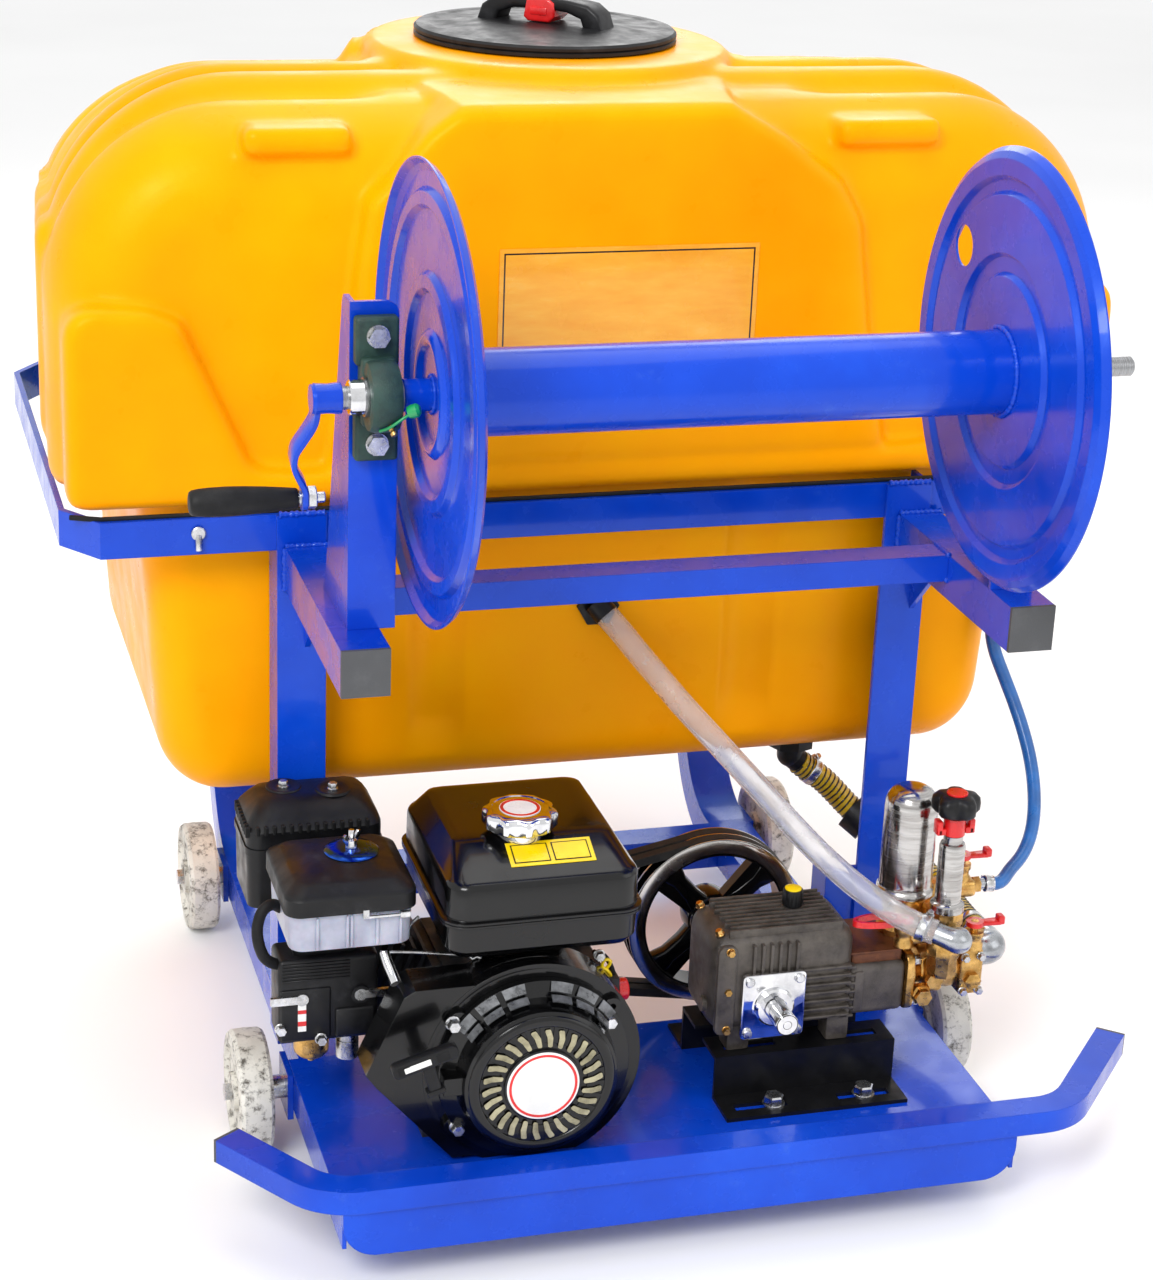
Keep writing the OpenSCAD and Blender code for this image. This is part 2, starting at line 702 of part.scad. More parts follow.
module fan_cover() placed() color(dark) intersection() {
  translate([0, fan_face_y + 45, 0]) rotate([90, 0, 0]) difference() {
    linear_extrude(45) fan_outline(0);
    translate([0, 0, -1]) linear_extrude(44) fan_outline(2);
    translate([engine_x, engine_z, 40]) cylinder(r = 78, h = 10);
  }
  translate([-400, -400, floor_z + 2]) cube([500, 400, 300]);
}

vent_slots = 26;

// Recoil starter: a round pressed cover with radial slots and three ears
module starter_cover() placed() color(dark) at_engine(fan_face_y - gap) rotate([90, 0, 0]) difference() {
  union() {
    rotate_extrude($fn = 96) polygon([
      [0, 30], [38, 30], [44, 37.5], [68, 37.5], [74, 34], [78, 12], [93, 8], [93, 0], [90, 0],
      [90, 6], [76, 9], [71, 32], [66, 35], [46, 35], [40, 27.5], [0, 27.5]
    ]);
    for (a = [37, 142, 215]) rotate([0, 0, a]) translate([94, 0, 0]) difference() {
      cylinder(r = 9, h = 6);
      translate([0, 0, -1]) cylinder(r = 3.3, h = 8);
    }
    // guide that the pull cord runs through
    translate([-92, -8, 10]) cube([22, 18, 18]);
  }
  for (i = [0 : vent_slots - 1]) rotate([0, 0, i * 360 / vent_slots]) translate([46, -2.6, 20])
    cube([20, 5.2, 30]);
}

// T-handle of the starter's pull cord
handle_tilt = 17;
module starter_handle() placed() color(dark) translate([-250, -300, 222]) rotate([0, -handle_tilt, 0]) {
  translate([-31, -8, -7]) soft_box([62, 15, 15], 6);
  translate([-6, -6, -34]) cube([12, 11, 30]);
}

fuel_low = [-222, -262, 300];

module fuel_tank() placed() color(dark) {
  soft_box_at(fuel_low, [186, 205, 46], 15);
  // seam flange
  translate([fuel_low[0] - 3, fuel_low[1] - 3, 334]) round_plate(192, 211, 5, 16);
  hull() {
    translate([fuel_low[0] + 1, fuel_low[1] + 1, 339]) round_plate(184, 203, 24, 18);
    translate([fuel_low[0] + 15, fuel_low[1] + 16, 350]) round_plate(156, 173, 41, 20);
  }
  // filler neck
  translate([-140, -195, 388]) cylinder(r = 20, h = 10);
}

module soft_box_at(corner, size, r) translate(corner) soft_box(size, r);

module fuel_cap() placed() color(steel) translate([-140, -195, 398 + gap]) difference() {
  cylinder(r = 36, h = 23);
  for (i = [0 : 11]) rotate([0, 0, 30 * i + 15]) translate([39.5, 0, 4]) cylinder(r = 7, h = 30);
}

module air_cleaner_base() placed() color([0.7, 0.7, 0.75]) translate([-364, -231, 308]) {
  round_plate(116, 118, 37, 14);
}

module air_cleaner_cover() placed() {
  color(dark) hull() {
    translate([-368, -235, 345 + gap]) round_plate(124, 126, 14, 16);
    translate([-356, -223, 360]) round_plate(100, 102, 16, 14);
  }
  color([0.1, 0.3, 0.8]) translate([-292, -160, 376]) cylinder(r = 20, h = 2);
  color(steel) translate([-292, -160, 378]) {
    cylinder(r = 6, h = 6);
    translate([0, 0, 6]) cylinder(r = 3, h = 12);
  }
}

module muffler() placed() color(dark) {
  soft_box_at([-380, -92, 284], [132, 88, 108], 14);
  translate([-330, -110, 296]) cube([40, 30, 46]);
}

// Carburettor behind its choke box, with the fuel bowl underneath
module carburettor() placed() difference() {
  union() {
    color(dark) {
      translate([-368, -192, 192]) cube([96, 44, 88]);
      translate([-352, -182, 279]) cube([62, 50, 28.7]);
    }
    color(brass_tone) translate([-332, -166, 166]) cylinder(r = 17, h = 27);
    color(steel) translate([-298, -172, 162]) cylinder(r = 11, h = 31);
  }
  for (x = choke_pins) translate([x, -200, choke_pin_z]) along_y() cylinder(r = 3 + fit, h = 30);
}

choke_pins = [-346, -290];
choke_pin_z = 240;

// Small lever that turns on its own pin in the choke box
module small_lever(x, reach) translate([x, -192 - gap, choke_pin_z]) {
  translate([0, 12, 0]) rotate([90, 0, 0]) cylinder(r = 3, h = 16);
  rotate([90, 0, 0]) cylinder(r = 6, h = 4);
  translate([min(0, reach), -4, -4]) cube([abs(reach), 4, 8]);
}

module choke_lever() placed() color(steel) small_lever(choke_pins[0], -30);
module throttle_lever() placed() color(steel) small_lever(choke_pins[1], 34);

module engine_switch() placed() color(handle_red) translate(switch_at) along_x() {
  cylinder(r = 4, h = 11);
  translate([0, 0, 10 + gap]) cylinder(r = 11, h = 11);
}

// ---- belt drive ----

groove_w = 12.6;
groove_depth = 10;
belt_w = 11;
belt_t = 9;
grooves = [8.5, 23.5];

// Two-groove rim as a ring, from its inner radius to its outer radius
module pulley_rim(inner, outer) difference() {
  cylinder(r = outer, h = pulley_w, $fn = 96);
  translate([0, 0, -1]) cylinder(r = inner, h = pulley_w + 2, $fn = 96);
  for (g = grooves) translate([0, 0, g - groove_w / 2]) difference() {
    cylinder(r = outer + 1, h = groove_w, $fn = 96);
    translate([0, 0, -1]) cylinder(r = outer - groove_depth, h = groove_w + 2, $fn = 96);
  }
}

module engine_pulley() placed() color(steel) at_engine(pulley_y) along_y() {
  pulley_rim(10, engine_pulley_r);
  translate([0, 0, -66]) cylinder(r = 10, h = 66 + pulley_w + 4);
  translate([0, 0, -60]) cylinder(r = 12.5, h = 12);
}

spokes = 4;
// The pump shaft steps down this far in front of its pulley, and its free end is this long
shaft_step = 191;
free_end = 37;
module pump_pulley() placed() color(dark) translate([pump_x, pulley_y, pump_z]) along_y() {
  pulley_rim(pump_pulley_r - 18, pump_pulley_r);
  cylinder(r = 26, h = pulley_w + 6);
  for (i = [0 : spokes - 1]) rotate([0, 0, 360 / spokes * i + 40]) translate([20, -10, 4])
    cube([pump_pulley_r - 36, 20, 14]);
  // crankshaft, through the pump to its free end in front
  translate([0, 0, -shaft_step]) cylinder(r = 12, h = shaft_step + 2);
  translate([0, 0, -shaft_step - free_end]) cylinder(r = 11, h = free_end);
}

// Loop round both pulleys, drawn inwards by inset
module belt_loop(inset) hull() {
  translate([engine_x, -engine_z]) circle(engine_pulley_r + 0.6 - inset, $fn = 64);
  translate([pump_x, -pump_z]) circle(pump_pulley_r + 0.6 - inset, $fn = 96);
}

module drive_belt() placed() color(dark) for (g = grooves) translate([0, pulley_y + g - belt_w / 2, 0])
  along_y() linear_extrude(belt_w) difference() {
    belt_loop(0);
    belt_loop(belt_t);
  }

// ---- pump ----

pump_front = -200;
pump_back = -108;
base_left = 66;
base_w = 190;
base_top_z = 136;
sheet = 4;

// Folded mounting rail: slotted foot flange in front, web, and slotted top flange
module pump_rail() difference() {
  union() {
    translate([0, -44, 0]) cube([base_w, 44, sheet]);
    cube([base_w, sheet, base_top_z - floor_z]);
    translate([0, 0, base_top_z - floor_z - sheet]) cube([base_w, 42, sheet]);
  }
  for (x = [14, 122]) {
    translate([x, -30, -1]) cube([54, 11, sheet + 2]);
    translate([x, 14, base_top_z - floor_z - sheet - 1]) cube([54, 11, sheet + 2]);
  }
}

module hex_bolt_up(d) {
  cylinder(d = 2.1 * d, h = 2);
  translate([0, 0, 2]) cylinder(d = 1.85 * d, h = 0.65 * d, $fn = 6);
}

module pump_base() placed() {
  color(dark) {
    translate([base_left, -206, floor_z]) pump_rail();
    translate([base_left + base_w, -98, floor_z]) rotate([0, 0, 180]) pump_rail();
  }
  // foot bolts
  color(steel) for (x = [base_left + 55, base_left + 150], y = [-230, -74])
    translate([x, y, floor_z + sheet]) hex_bolt_up(9);
}

// Finned crankcase with four feet and the square bearing plate in front
module pump_crankcase() placed() difference() {
  union() {
    color([0.22, 0.21, 0.2]) {
      hull() for (x = [86, 184], z = [186, 238]) translate([x, pump_back, z]) rotate([90, 0, 0])
        cylinder(r = 25, h = pump_back - pump_front, $fn = 32);
      for (i = [0 : 7]) translate([80 + 14 * i, pump_front + 8, 255]) cube([6, pump_back - pump_front - 16, 11]);
      for (i = [0 : 4]) translate([196, pump_front - 3, 168 + 12 * i]) cube([15, 80, 5]);
      for (x = [80, 185], y = [-196, -134]) translate([x, y, base_top_z]) cube([24, 26, 36]);
      translate([158, -148, 258]) cylinder(r = 11, h = 9);
    }
    color(steel) translate([pump_x - 29, pump_front - 5, pump_z - 29]) {
      cube([58, 5, 58]);
      for (x = [7, 51], z = [7, 51]) translate([x, 0, z]) rotate([90, 0, 0]) cylinder(d = 9, h = 4);
    }
    color(steel) translate([pump_x, pump_front - 4, pump_z]) rotate([90, 0, 0]) cylinder(r = 20, h = 8);
  }
  translate([pump_x, -300, pump_z]) along_y() cylinder(r = 12 + fit, h = 300);
}

module oil_cap() placed() color(dark) translate([158, -148, 267 + gap]) {
  cylinder(r = 10, h = 18);
  translate([0, 0, 18]) cylinder(r = 8.5, h = 1.5);
}

block_right = 268;

// Plunger block, and the sheet cover over the plungers
module pump_cylinder() placed() {
  color([0.3, 0.28, 0.27]) translate([212, -194, 160]) cube([block_right - 212, 78, 56]);
  color([0.45, 0.28, 0.18]) translate([212, -186, 216]) cube([52, 66, 11]);
}

manifold_y = -160;
regulator_pos = [304, -196];
chamber_pos = [279, -146];

// A round bar between two points
module rod(start, end, r) {
  ahead = end - start;
  translate(start) rotate([0, acos(ahead[2] / norm(ahead)), atan2(ahead[1], ahead[0])])
    cylinder(r = r, h = norm(ahead));
}

// Elbow that takes the return hose: its far corner, and where it enters the regulator's foot
return_corner = [294, -244.6, 261.4];
return_entry = [304, -204, 248];

// Brass manifold with its valve bodies and outlets
module manifold_brass() {
  translate([block_right, -196, 160]) cube([8, 82, 62]);
  translate([block_right + 8, manifold_y, 192]) along_x() cylinder(r = 24, h = 64);
  translate([block_right + 24, manifold_y - 32, 176]) cube([18, 64, 32]);
  translate([block_right + 60, manifold_y - 30, 168]) cube([26, 58, 50]);
  // feet of the chamber and the regulator
  translate([chamber_pos[0], chamber_pos[1], 229]) cylinder(r = 26, h = 43);
  translate([chamber_pos[0] - 4, chamber_pos[1] - 12, 200]) cube([26, 24, 40]);
  translate([regulator_pos[0], regulator_pos[1], 200]) cylinder(r = 18, h = 72);
  translate([regulator_pos[0] - 12, regulator_pos[1], 236]) cube([24, 50, 28]);
  // arm of the delivery valve
  translate([valve_stems[0][0], valve_stems[0][1] - 8, 232]) cube([30, 16, 16]);
  // bypass outlet
  translate([chamber_pos[0], -140, 250]) cube([86, 26, 20]);
  // bodies and stems of the valves
  for (p = valve_stems) translate([p[0], p[1], p[2] - 26]) {
    cylinder(r = 10, h = 20);
    cylinder(r = 4, h = 32);
  }
}

// Steel elbow of the suction line, tail of the bypass line and elbow of the return line
module manifold_steel() {
  elbow_x = block_right + 106;
  translate([elbow_x - 20, manifold_y, 204]) along_x() cylinder(r = 16, h = 20);
  translate([elbow_x, manifold_y, 204]) sphere(16);
  translate([elbow_x, manifold_y, 204]) along_y() cylinder(r = 13, h = 42 - gap);
  translate([364, -127, 260]) along_x() cylinder(r = 6, h = 12 - gap);
  rod(return_route[13] + gap * [0.77, -0.6, -0.22], return_corner, 10);
  translate(return_corner) sphere(12);
  rod(return_corner, return_entry, 8);
}

module pump_manifold() placed() {
  color(brass_tone) manifold_brass();
  color(steel) manifold_steel();
}

valve_stems = [[264, -188, 258], [344, -180, 242], [348, -127, 292]];

// Quarter-turn handle of a ball valve, on its stem
module valve_handle(at, reach, turn) translate([at[0], at[1], at[2]]) rotate([0, 0, turn]) difference() {
  union() {
    cylinder(r = 9, h = 5);
    translate([0, -5, 0]) cube([reach, 10, 4]);
    translate([reach, 0, 0]) cylinder(r = 5, h = 4);
  }
  translate([0, 0, -1]) cylinder(r = 4 + fit, h = 8);
}

module delivery_lever() placed() color(handle_red) valve_handle(valve_stems[0], 50, 180);
module drain_lever() placed() color(handle_red) valve_handle(valve_stems[1], 26, 0);
module bypass_lever() placed() color(handle_red) valve_handle(valve_stems[2], 26, 0);

module air_chamber() placed() color(steel) translate([chamber_pos[0], chamber_pos[1], 272]) {
  rotate_extrude($fn = 72) polygon([
    [0, 0], [29, 0], [29, 6], [27, 8], [27, 96], [25.5, 104], [21, 110], [13, 114], [0, 115.5]
  ]);
}

module regulator() placed() color(steel) translate([regulator_pos[0], regulator_pos[1], 272]) {
  cylinder(r = 17, h = 10);
  cylinder(r = 13, h = 74);
  translate([0, 0, 74]) cylinder(r = 10, h = 8);
  cylinder(r = 4, h = 112);
}

module regulator_lever() placed() color(handle_red) translate([regulator_pos[0], regulator_pos[1], 355]) {
  difference() {
    union() {
      cylinder(r = 11, h = 18);
      translate([-19, -6, 0]) cube([38, 12, 16]);
    }
    translate([0, 0, -1]) cylinder(r = 4 + fit, h = 30);
  }
}

knob_lobes = 6;
module regulator_knob() placed() translate([regulator_pos[0], regulator_pos[1], 376]) difference() {
  union() {
    color(dark) {
      cylinder(r = 19, h = 22);
      for (i = [0 : knob_lobes - 1]) rotate([0, 0, i * 360 / knob_lobes]) translate([18.5, 0, 3])
        cylinder(r = 6.5, h = 19);
    }
    color(handle_red) translate([0, 0, 22]) cylinder(r = 11, h = 2);
  }
  translate([0, 0, -1]) cylinder(r = 4 + fit, h = 14);
}

rails();
rear_crosstube();
tray();
bumper();
tube_caps();
axle_plates();
wheel_axles();
wheel_front_left();
wheel_front_right();
wheel_rear_left();
wheel_rear_right();
posts();
reel_arms();
crossbeam();
waist_band();
reel_brackets();
bearing_housings();
bearing_bolts();
reel_shaft();
reel_drum();
disc_left();
disc_right();
crank_arm();
crank_grip();
tank();
tank_lid();
label_plate();
tank_fittings();
hose_clamps();
return_hose();
suction_hose();
bypass_hose();
engine_block();
fan_cover();
starter_cover();
starter_handle();
fuel_tank();
fuel_cap();
air_cleaner_base();
air_cleaner_cover();
muffler();
carburettor();
choke_lever();
throttle_lever();
engine_switch();
engine_pulley();
drive_belt();
pump_pulley();
pump_base();
pump_crankcase();
oil_cap();
pump_cylinder();
pump_manifold();
air_chamber();
regulator();
regulator_knob();
regulator_lever();
delivery_lever();
bypass_lever();
drain_lever();
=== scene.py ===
"""Looks of the wheeled sprayer cart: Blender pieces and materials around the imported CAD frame."""
import math

import bmesh
import bpy
import numpy as np
from mathutils import Matrix, Vector


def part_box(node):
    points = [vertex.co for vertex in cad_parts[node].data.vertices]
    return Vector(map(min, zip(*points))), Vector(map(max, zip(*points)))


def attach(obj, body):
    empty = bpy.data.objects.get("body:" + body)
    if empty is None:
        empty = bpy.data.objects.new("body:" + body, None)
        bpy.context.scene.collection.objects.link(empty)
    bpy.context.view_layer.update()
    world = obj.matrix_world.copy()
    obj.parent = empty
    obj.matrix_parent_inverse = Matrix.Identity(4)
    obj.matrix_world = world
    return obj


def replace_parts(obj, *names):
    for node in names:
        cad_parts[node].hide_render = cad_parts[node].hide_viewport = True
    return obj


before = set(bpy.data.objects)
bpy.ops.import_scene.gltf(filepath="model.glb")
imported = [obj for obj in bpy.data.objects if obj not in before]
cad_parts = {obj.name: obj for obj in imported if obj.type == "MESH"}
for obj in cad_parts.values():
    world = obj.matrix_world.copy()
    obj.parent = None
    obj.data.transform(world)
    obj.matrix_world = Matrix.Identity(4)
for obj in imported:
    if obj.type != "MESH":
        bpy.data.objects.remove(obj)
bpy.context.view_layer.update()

MM = 0.001
RIGHT, BACK, FRONT, UP = (1, 0, 0), (0, 1, 0), (0, -1, 0), (0, 0, 1)
POST_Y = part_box("posts")[0][1]


def P(x, y, z):
    """A point in metres from millimetres, with y measured from the posts' front face."""
    return Vector((x * MM, POST_Y + y * MM, z * MM))


# ---------------------------------------------------------------- camera

CAMERA_YAW, CAMERA_PITCH, CAMERA_ROLL = math.radians(16.39), math.radians(21.0), math.radians(2.29)
CAMERA_SPOT = (-763.5, -2480, 1500)
FILM_HEIGHT, FOCAL_LENGTH = 36.0, 78.0


def set_camera():
    """Looks down at the cart from the front left, as a long lens would."""
    yaw, pitch, roll = CAMERA_YAW, CAMERA_PITCH, CAMERA_ROLL
    data = bpy.data.cameras.new("camera")
    data.sensor_fit = "VERTICAL"
    data.sensor_height = FILM_HEIGHT
    data.lens = FOCAL_LENGTH
    data.clip_end = 50
    camera = bpy.data.objects.new("camera", data)
    bpy.context.collection.objects.link(camera)
    forward = Vector((math.sin(yaw) * math.cos(pitch), math.cos(yaw) * math.cos(pitch), -math.sin(pitch)))
    right = Vector((math.cos(yaw), -math.sin(yaw), 0))
    up = right.cross(forward)
    level = right.copy()
    right = math.cos(roll) * level + math.sin(roll) * up
    up = -math.sin(roll) * level + math.cos(roll) * up
    turn = Matrix((right, up, -forward)).transposed().to_4x4()
    camera.matrix_world = Matrix.Translation(P(*CAMERA_SPOT)) @ turn
    bpy.context.scene.camera = camera


set_camera()

# ---------------------------------------------------------------- materials

def linear(hex_colour):
    """Linear RGBA from an sRGB hex string."""
    values = [int(hex_colour[i:i + 2], 16) / 255 for i in (0, 2, 4)]
    return tuple(v / 12.92 if v <= 0.04045 else ((v + 0.055) / 1.055) ** 2.4 for v in values) + (1.0,)


class Look:
    """A node material that is built up step by step around one Principled shader."""

    def __init__(self, name, **sockets):
        self.material = bpy.data.materials.new(name)
        self.material.use_nodes = True
        self.tree = self.material.node_tree
        self.shader = self.tree.nodes["Principled BSDF"]
        self.where = self.tree.nodes.new("ShaderNodeTexCoord").outputs["Object"]
        for key, value in sockets.items():
            self.shader.inputs[key.replace("_", " ")].default_value = value

    def node(self, kind, **settings):
        made = self.tree.nodes.new(kind)
        for key, value in settings.items():
            setattr(made, key, value)
        return made

    def link(self, output, target):
        self.tree.links.new(output, target)

    def noise(self, scale, detail=4.0, rough=0.55, stretch=None):
        made = self.node("ShaderNodeTexNoise")
        made.inputs["Scale"].default_value = scale
        made.inputs["Detail"].default_value = detail
        made.inputs["Roughness"].default_value = rough
        place = self.where
        if stretch:
            mapping = self.node("ShaderNodeMapping")
            mapping.inputs["Scale"].default_value = stretch
            self.link(self.where, mapping.inputs["Vector"])
            place = mapping.outputs["Vector"]
        self.link(place, made.inputs["Vector"])
        return made.outputs["Fac"]

    def ramp(self, factor, stops):
        made = self.node("ShaderNodeValToRGB")
        points = made.color_ramp.elements
        while len(points) < len(stops):
            points.new(0.5)
        for point, (position, colour) in zip(points, stops):
            point.position = position
            point.color = colour
        self.link(factor, made.inputs["Fac"])
        return made.outputs["Color"]

    def spread(self, factor, low, high, start=0.35, end=0.65):
        """Maps a noise onto a range of values."""
        made = self.node("ShaderNodeMapRange")
        for name, value in (("From Min", start), ("From Max", end), ("To Min", low), ("To Max", high)):
            made.inputs[name].default_value = value
        self.link(factor, made.inputs["Value"])
        return made.outputs["Result"]

    def mix(self, factor, first, second):
        made = self.node("ShaderNodeMix", data_type="RGBA")
        for socket, value in ((made.inputs[6], first), (made.inputs[7], second)):
            if isinstance(value, tuple):
                socket.default_value = value
            else:
                self.link(value, socket)
        self.link(factor, made.inputs[0])
        return made.outputs[2]

    def bump(self, height, strength, distance):
        made = self.node("ShaderNodeBump")
        made.inputs["Strength"].default_value = strength
        made.inputs["Distance"].default_value = distance
        self.link(height, made.inputs["Height"])
        if self.shader.inputs["Normal"].is_linked:
            self.link(self.shader.inputs["Normal"].links[0].from_socket, made.inputs["Normal"])
        self.link(made.outputs["Normal"], self.shader.inputs["Normal"])

    def rounded_edges(self, radius):
        """Shades sharp edges as if they were rounded."""
        made = self.node("ShaderNodeBevel", samples=4)
        made.inputs["Radius"].default_value = radius
        self.link(made.outputs["Normal"], self.shader.inputs["Normal"])

    def tint(self, tone, level):
        """Colours and weakens the mirror reflection."""
        self.shader.inputs["Specular Tint"].default_value = (*tone, 1)
        self.shader.inputs["Specular IOR Level"].default_value = level

    def colour(self, output):
        self.link(output, self.shader.inputs["Base Color"])

    def roughness(self, output):
        self.link(output, self.shader.inputs["Roughness"])


def enamel():
    """Glossy blue machine enamel, with orange peel, thin patches and dust."""
    look = Look("blue_enamel", Roughness=0.24, Coat_Weight=0.3, Coat_Roughness=0.06, IOR=1.5)
    look.tint((0.3, 0.5, 1.0), 0.5)
    look.rounded_edges(0.0016)
    patches = look.noise(7, 5)
    tone = look.ramp(patches, [(0.3, linear("0236b0")), (0.55, linear("0440c2")), (0.75, linear("0a4cd2"))])
    fine = look.noise(160, 3, 0.7)
    dust = look.spread(look.noise(38, 8, 0.75), 0.0, 0.22, 0.6, 0.8)
    look.colour(look.mix(dust, tone, linear("5a86d6")))
    look.roughness(look.spread(look.noise(24, 6), 0.16, 0.34))
    look.bump(fine, 0.10, 0.0006)
    look.bump(look.noise(30, 2), 0.12, 0.002)
    return look.material


def tank_plastic():
    """Rotationally moulded polyethylene: satin, softly mottled, with a faint pebble."""
    look = Look("tank_plastic", Roughness=0.36, Subsurface_Weight=0.1, Subsurface_Scale=0.008, IOR=1.4)
    look.tint((1.0, 0.72, 0.2), 0.32)
    look.shader.inputs["Subsurface Radius"].default_value = (1.0, 0.45, 0.08)
    cloud = look.noise(4.5, 3)
    tone = look.ramp(cloud, [(0.3, linear("fc9700")), (0.55, linear("ffa300")), (0.75, linear("ffae00"))])
    speck = look.spread(look.noise(90, 8, 0.8), 0.0, 0.16, 0.63, 0.8)
    look.colour(look.mix(speck, tone, linear("d87f00")))
    look.roughness(look.spread(look.noise(18, 5), 0.27, 0.42))
    look.bump(look.noise(230, 3, 0.6), 0.10, 0.0005)
    look.bump(look.noise(22, 3), 0.16, 0.004)
    return look.material


def moulded(name, tone, rough=0.45, grain=0.25, worn="55565a"):
    """Moulded black or grey plastic with a leathery grain and scuffed patches."""
    look = Look(name, Roughness=rough, IOR=1.48)
    look.tint((1, 1, 1), 0.32)
    patches = look.noise(30, 6, 0.7)
    base = look.ramp(patches, [(0.35, linear(tone)), (0.7, linear(worn))])
    mixed = look.mix(look.spread(patches, 0.0, 0.25, 0.5, 0.75), linear(tone), base)
    look.colour(look.mix(look.spread(look.noise(70, 8, 0.8), 0.0, 0.3, 0.62, 0.8), mixed, linear(worn)))
    look.roughness(look.spread(look.noise(45, 5), rough - 0.1, rough + 0.12))
    look.bump(look.noise(900, 2, 0.6), grain, 0.0004)
    return look.material


def gloss_black(name="gloss_black", tone="060607"):
    """Stoved gloss black paint on pressed steel."""
    look = Look(name, Roughness=0.16, Coat_Weight=0.25, Coat_Roughness=0.05, IOR=1.38)
    look.rounded_edges(0.0012)
    dust = look.spread(look.noise(60, 8, 0.8), 0.0, 0.12, 0.6, 0.82)
    look.colour(look.mix(dust, linear(tone), linear("4a4a50")))
    look.roughness(look.spread(look.noise(20, 6), 0.12, 0.28))
    look.bump(look.noise(120, 2), 0.05, 0.0006)
    return look.material


def metal(name, tone, rough, dull="8a8a8a", scale=60, stretch=None, pits=0.12):
    """Bare or plated metal, with stains and fine marks."""
    look = Look(name, Metallic=1.0, Roughness=rough)
    stain = look.noise(scale, 6, 0.7, stretch)
    look.colour(look.ramp(stain, [(0.3, linear(dull)), (0.6, linear(tone))]))
    look.roughness(look.spread(look.noise(scale * 2.2, 5, 0.6, stretch), max(rough - 0.08, 0.02),
                               rough + 0.12))
    look.bump(look.noise(scale * 6, 4, 0.7, stretch), pits, 0.0004)
    return look.material


def cast(name, tone, dark, rough=0.55, metallic=0.35):
    """Painted or bare casting with a sandy skin."""
    look = Look(name, Metallic=metallic, Roughness=rough)
    look.colour(look.ramp(look.noise(45, 6, 0.7), [(0.3, linear(dark)), (0.62, linear(tone))]))
    look.roughness(look.spread(look.noise(90, 4), rough - 0.12, rough + 0.15))
    look.bump(look.noise(520, 4, 0.75), 0.5, 0.0009)
    return look.material


def wheel_polymer():
    """Off-white tread with dark grit pressed into it."""
    look = Look("wheel_polymer", Roughness=0.6)
    grit = look.spread(look.noise(75, 9, 0.78), 0.0, 1.0, 0.5, 0.62)
    tone = look.ramp(look.noise(16, 5), [(0.3, linear("b9b6ad")), (0.7, linear("e2dfd6"))])
    look.colour(look.mix(grit, tone, linear("57524a")))
    look.bump(look.noise(120, 6, 0.7), 0.4, 0.001)
    return look.material


def clear_pvc():
    """Clear soft PVC hose with faint haze."""
    look = Look("clear_pvc", Roughness=0.08, Transmission_Weight=0.84, IOR=1.2)
    haze = look.spread(look.noise(40, 5), 0.0, 1.0)
    look.colour(look.mix(haze, linear("ffffff"), linear("f6f6f8")))
    look.roughness(look.spread(look.noise(25, 4, 0.6, (1, 1, 1)), 0.1, 0.28))
    look.bump(look.noise(60, 3), 0.12, 0.001)
    return look.material


def plain(name, tones, tone_noise, stops, rough_noise, rough, grain, **sockets):
    """Even material in two tones, with its gloss and fine grain varied by noise."""
    look = Look(name, **sockets)
    dark, light = (linear(tone) for tone in tones)
    look.colour(look.ramp(look.noise(*tone_noise), [(stops[0], dark), (stops[1], light)]))
    if rough_noise:
        look.roughness(look.spread(look.noise(*rough_noise), *rough))
    scale, strength, depth = grain
    look.bump(look.noise(scale, 3), strength, depth)
    return look.material


def soft_pvc(name, tone, shade):
    """Coloured PVC hose or cap."""
    return plain(name, (shade, tone), (35, 5), (0.3, 0.65), (60, 4), (0.24, 0.42), (300, 0.1, 0.0004),
                 Roughness=0.3, Coat_Weight=0.25, IOR=1.5)


def red_plastic():
    """Signal red moulding."""
    return plain("signal_red", ("b80d12", "e01a1c"), (50, 5), (0.3, 0.65), (80, 4), (0.22, 0.42),
                 (400, 0.1, 0.0004), Roughness=0.3, Coat_Weight=0.3)


def belt_rubber():
    """Dull black belt with dust in its fabric."""
    return plain("belt_rubber", ("0b0b0c", "2b2926"), (80, 7, 0.75), (0.35, 0.7), None, None,
                 (600, 0.3, 0.0005), Roughness=0.65)


def filter_plastic():
    """Milky, slightly see-through plastic."""
    return plain("filter_plastic", ("8d8fa3", "babccb"), (28, 4), (0.3, 0.7), (40, 4), (0.28, 0.45),
                 (200, 0.1, 0.0004), Roughness=0.35, Subsurface_Weight=0.4, Subsurface_Scale=0.01)


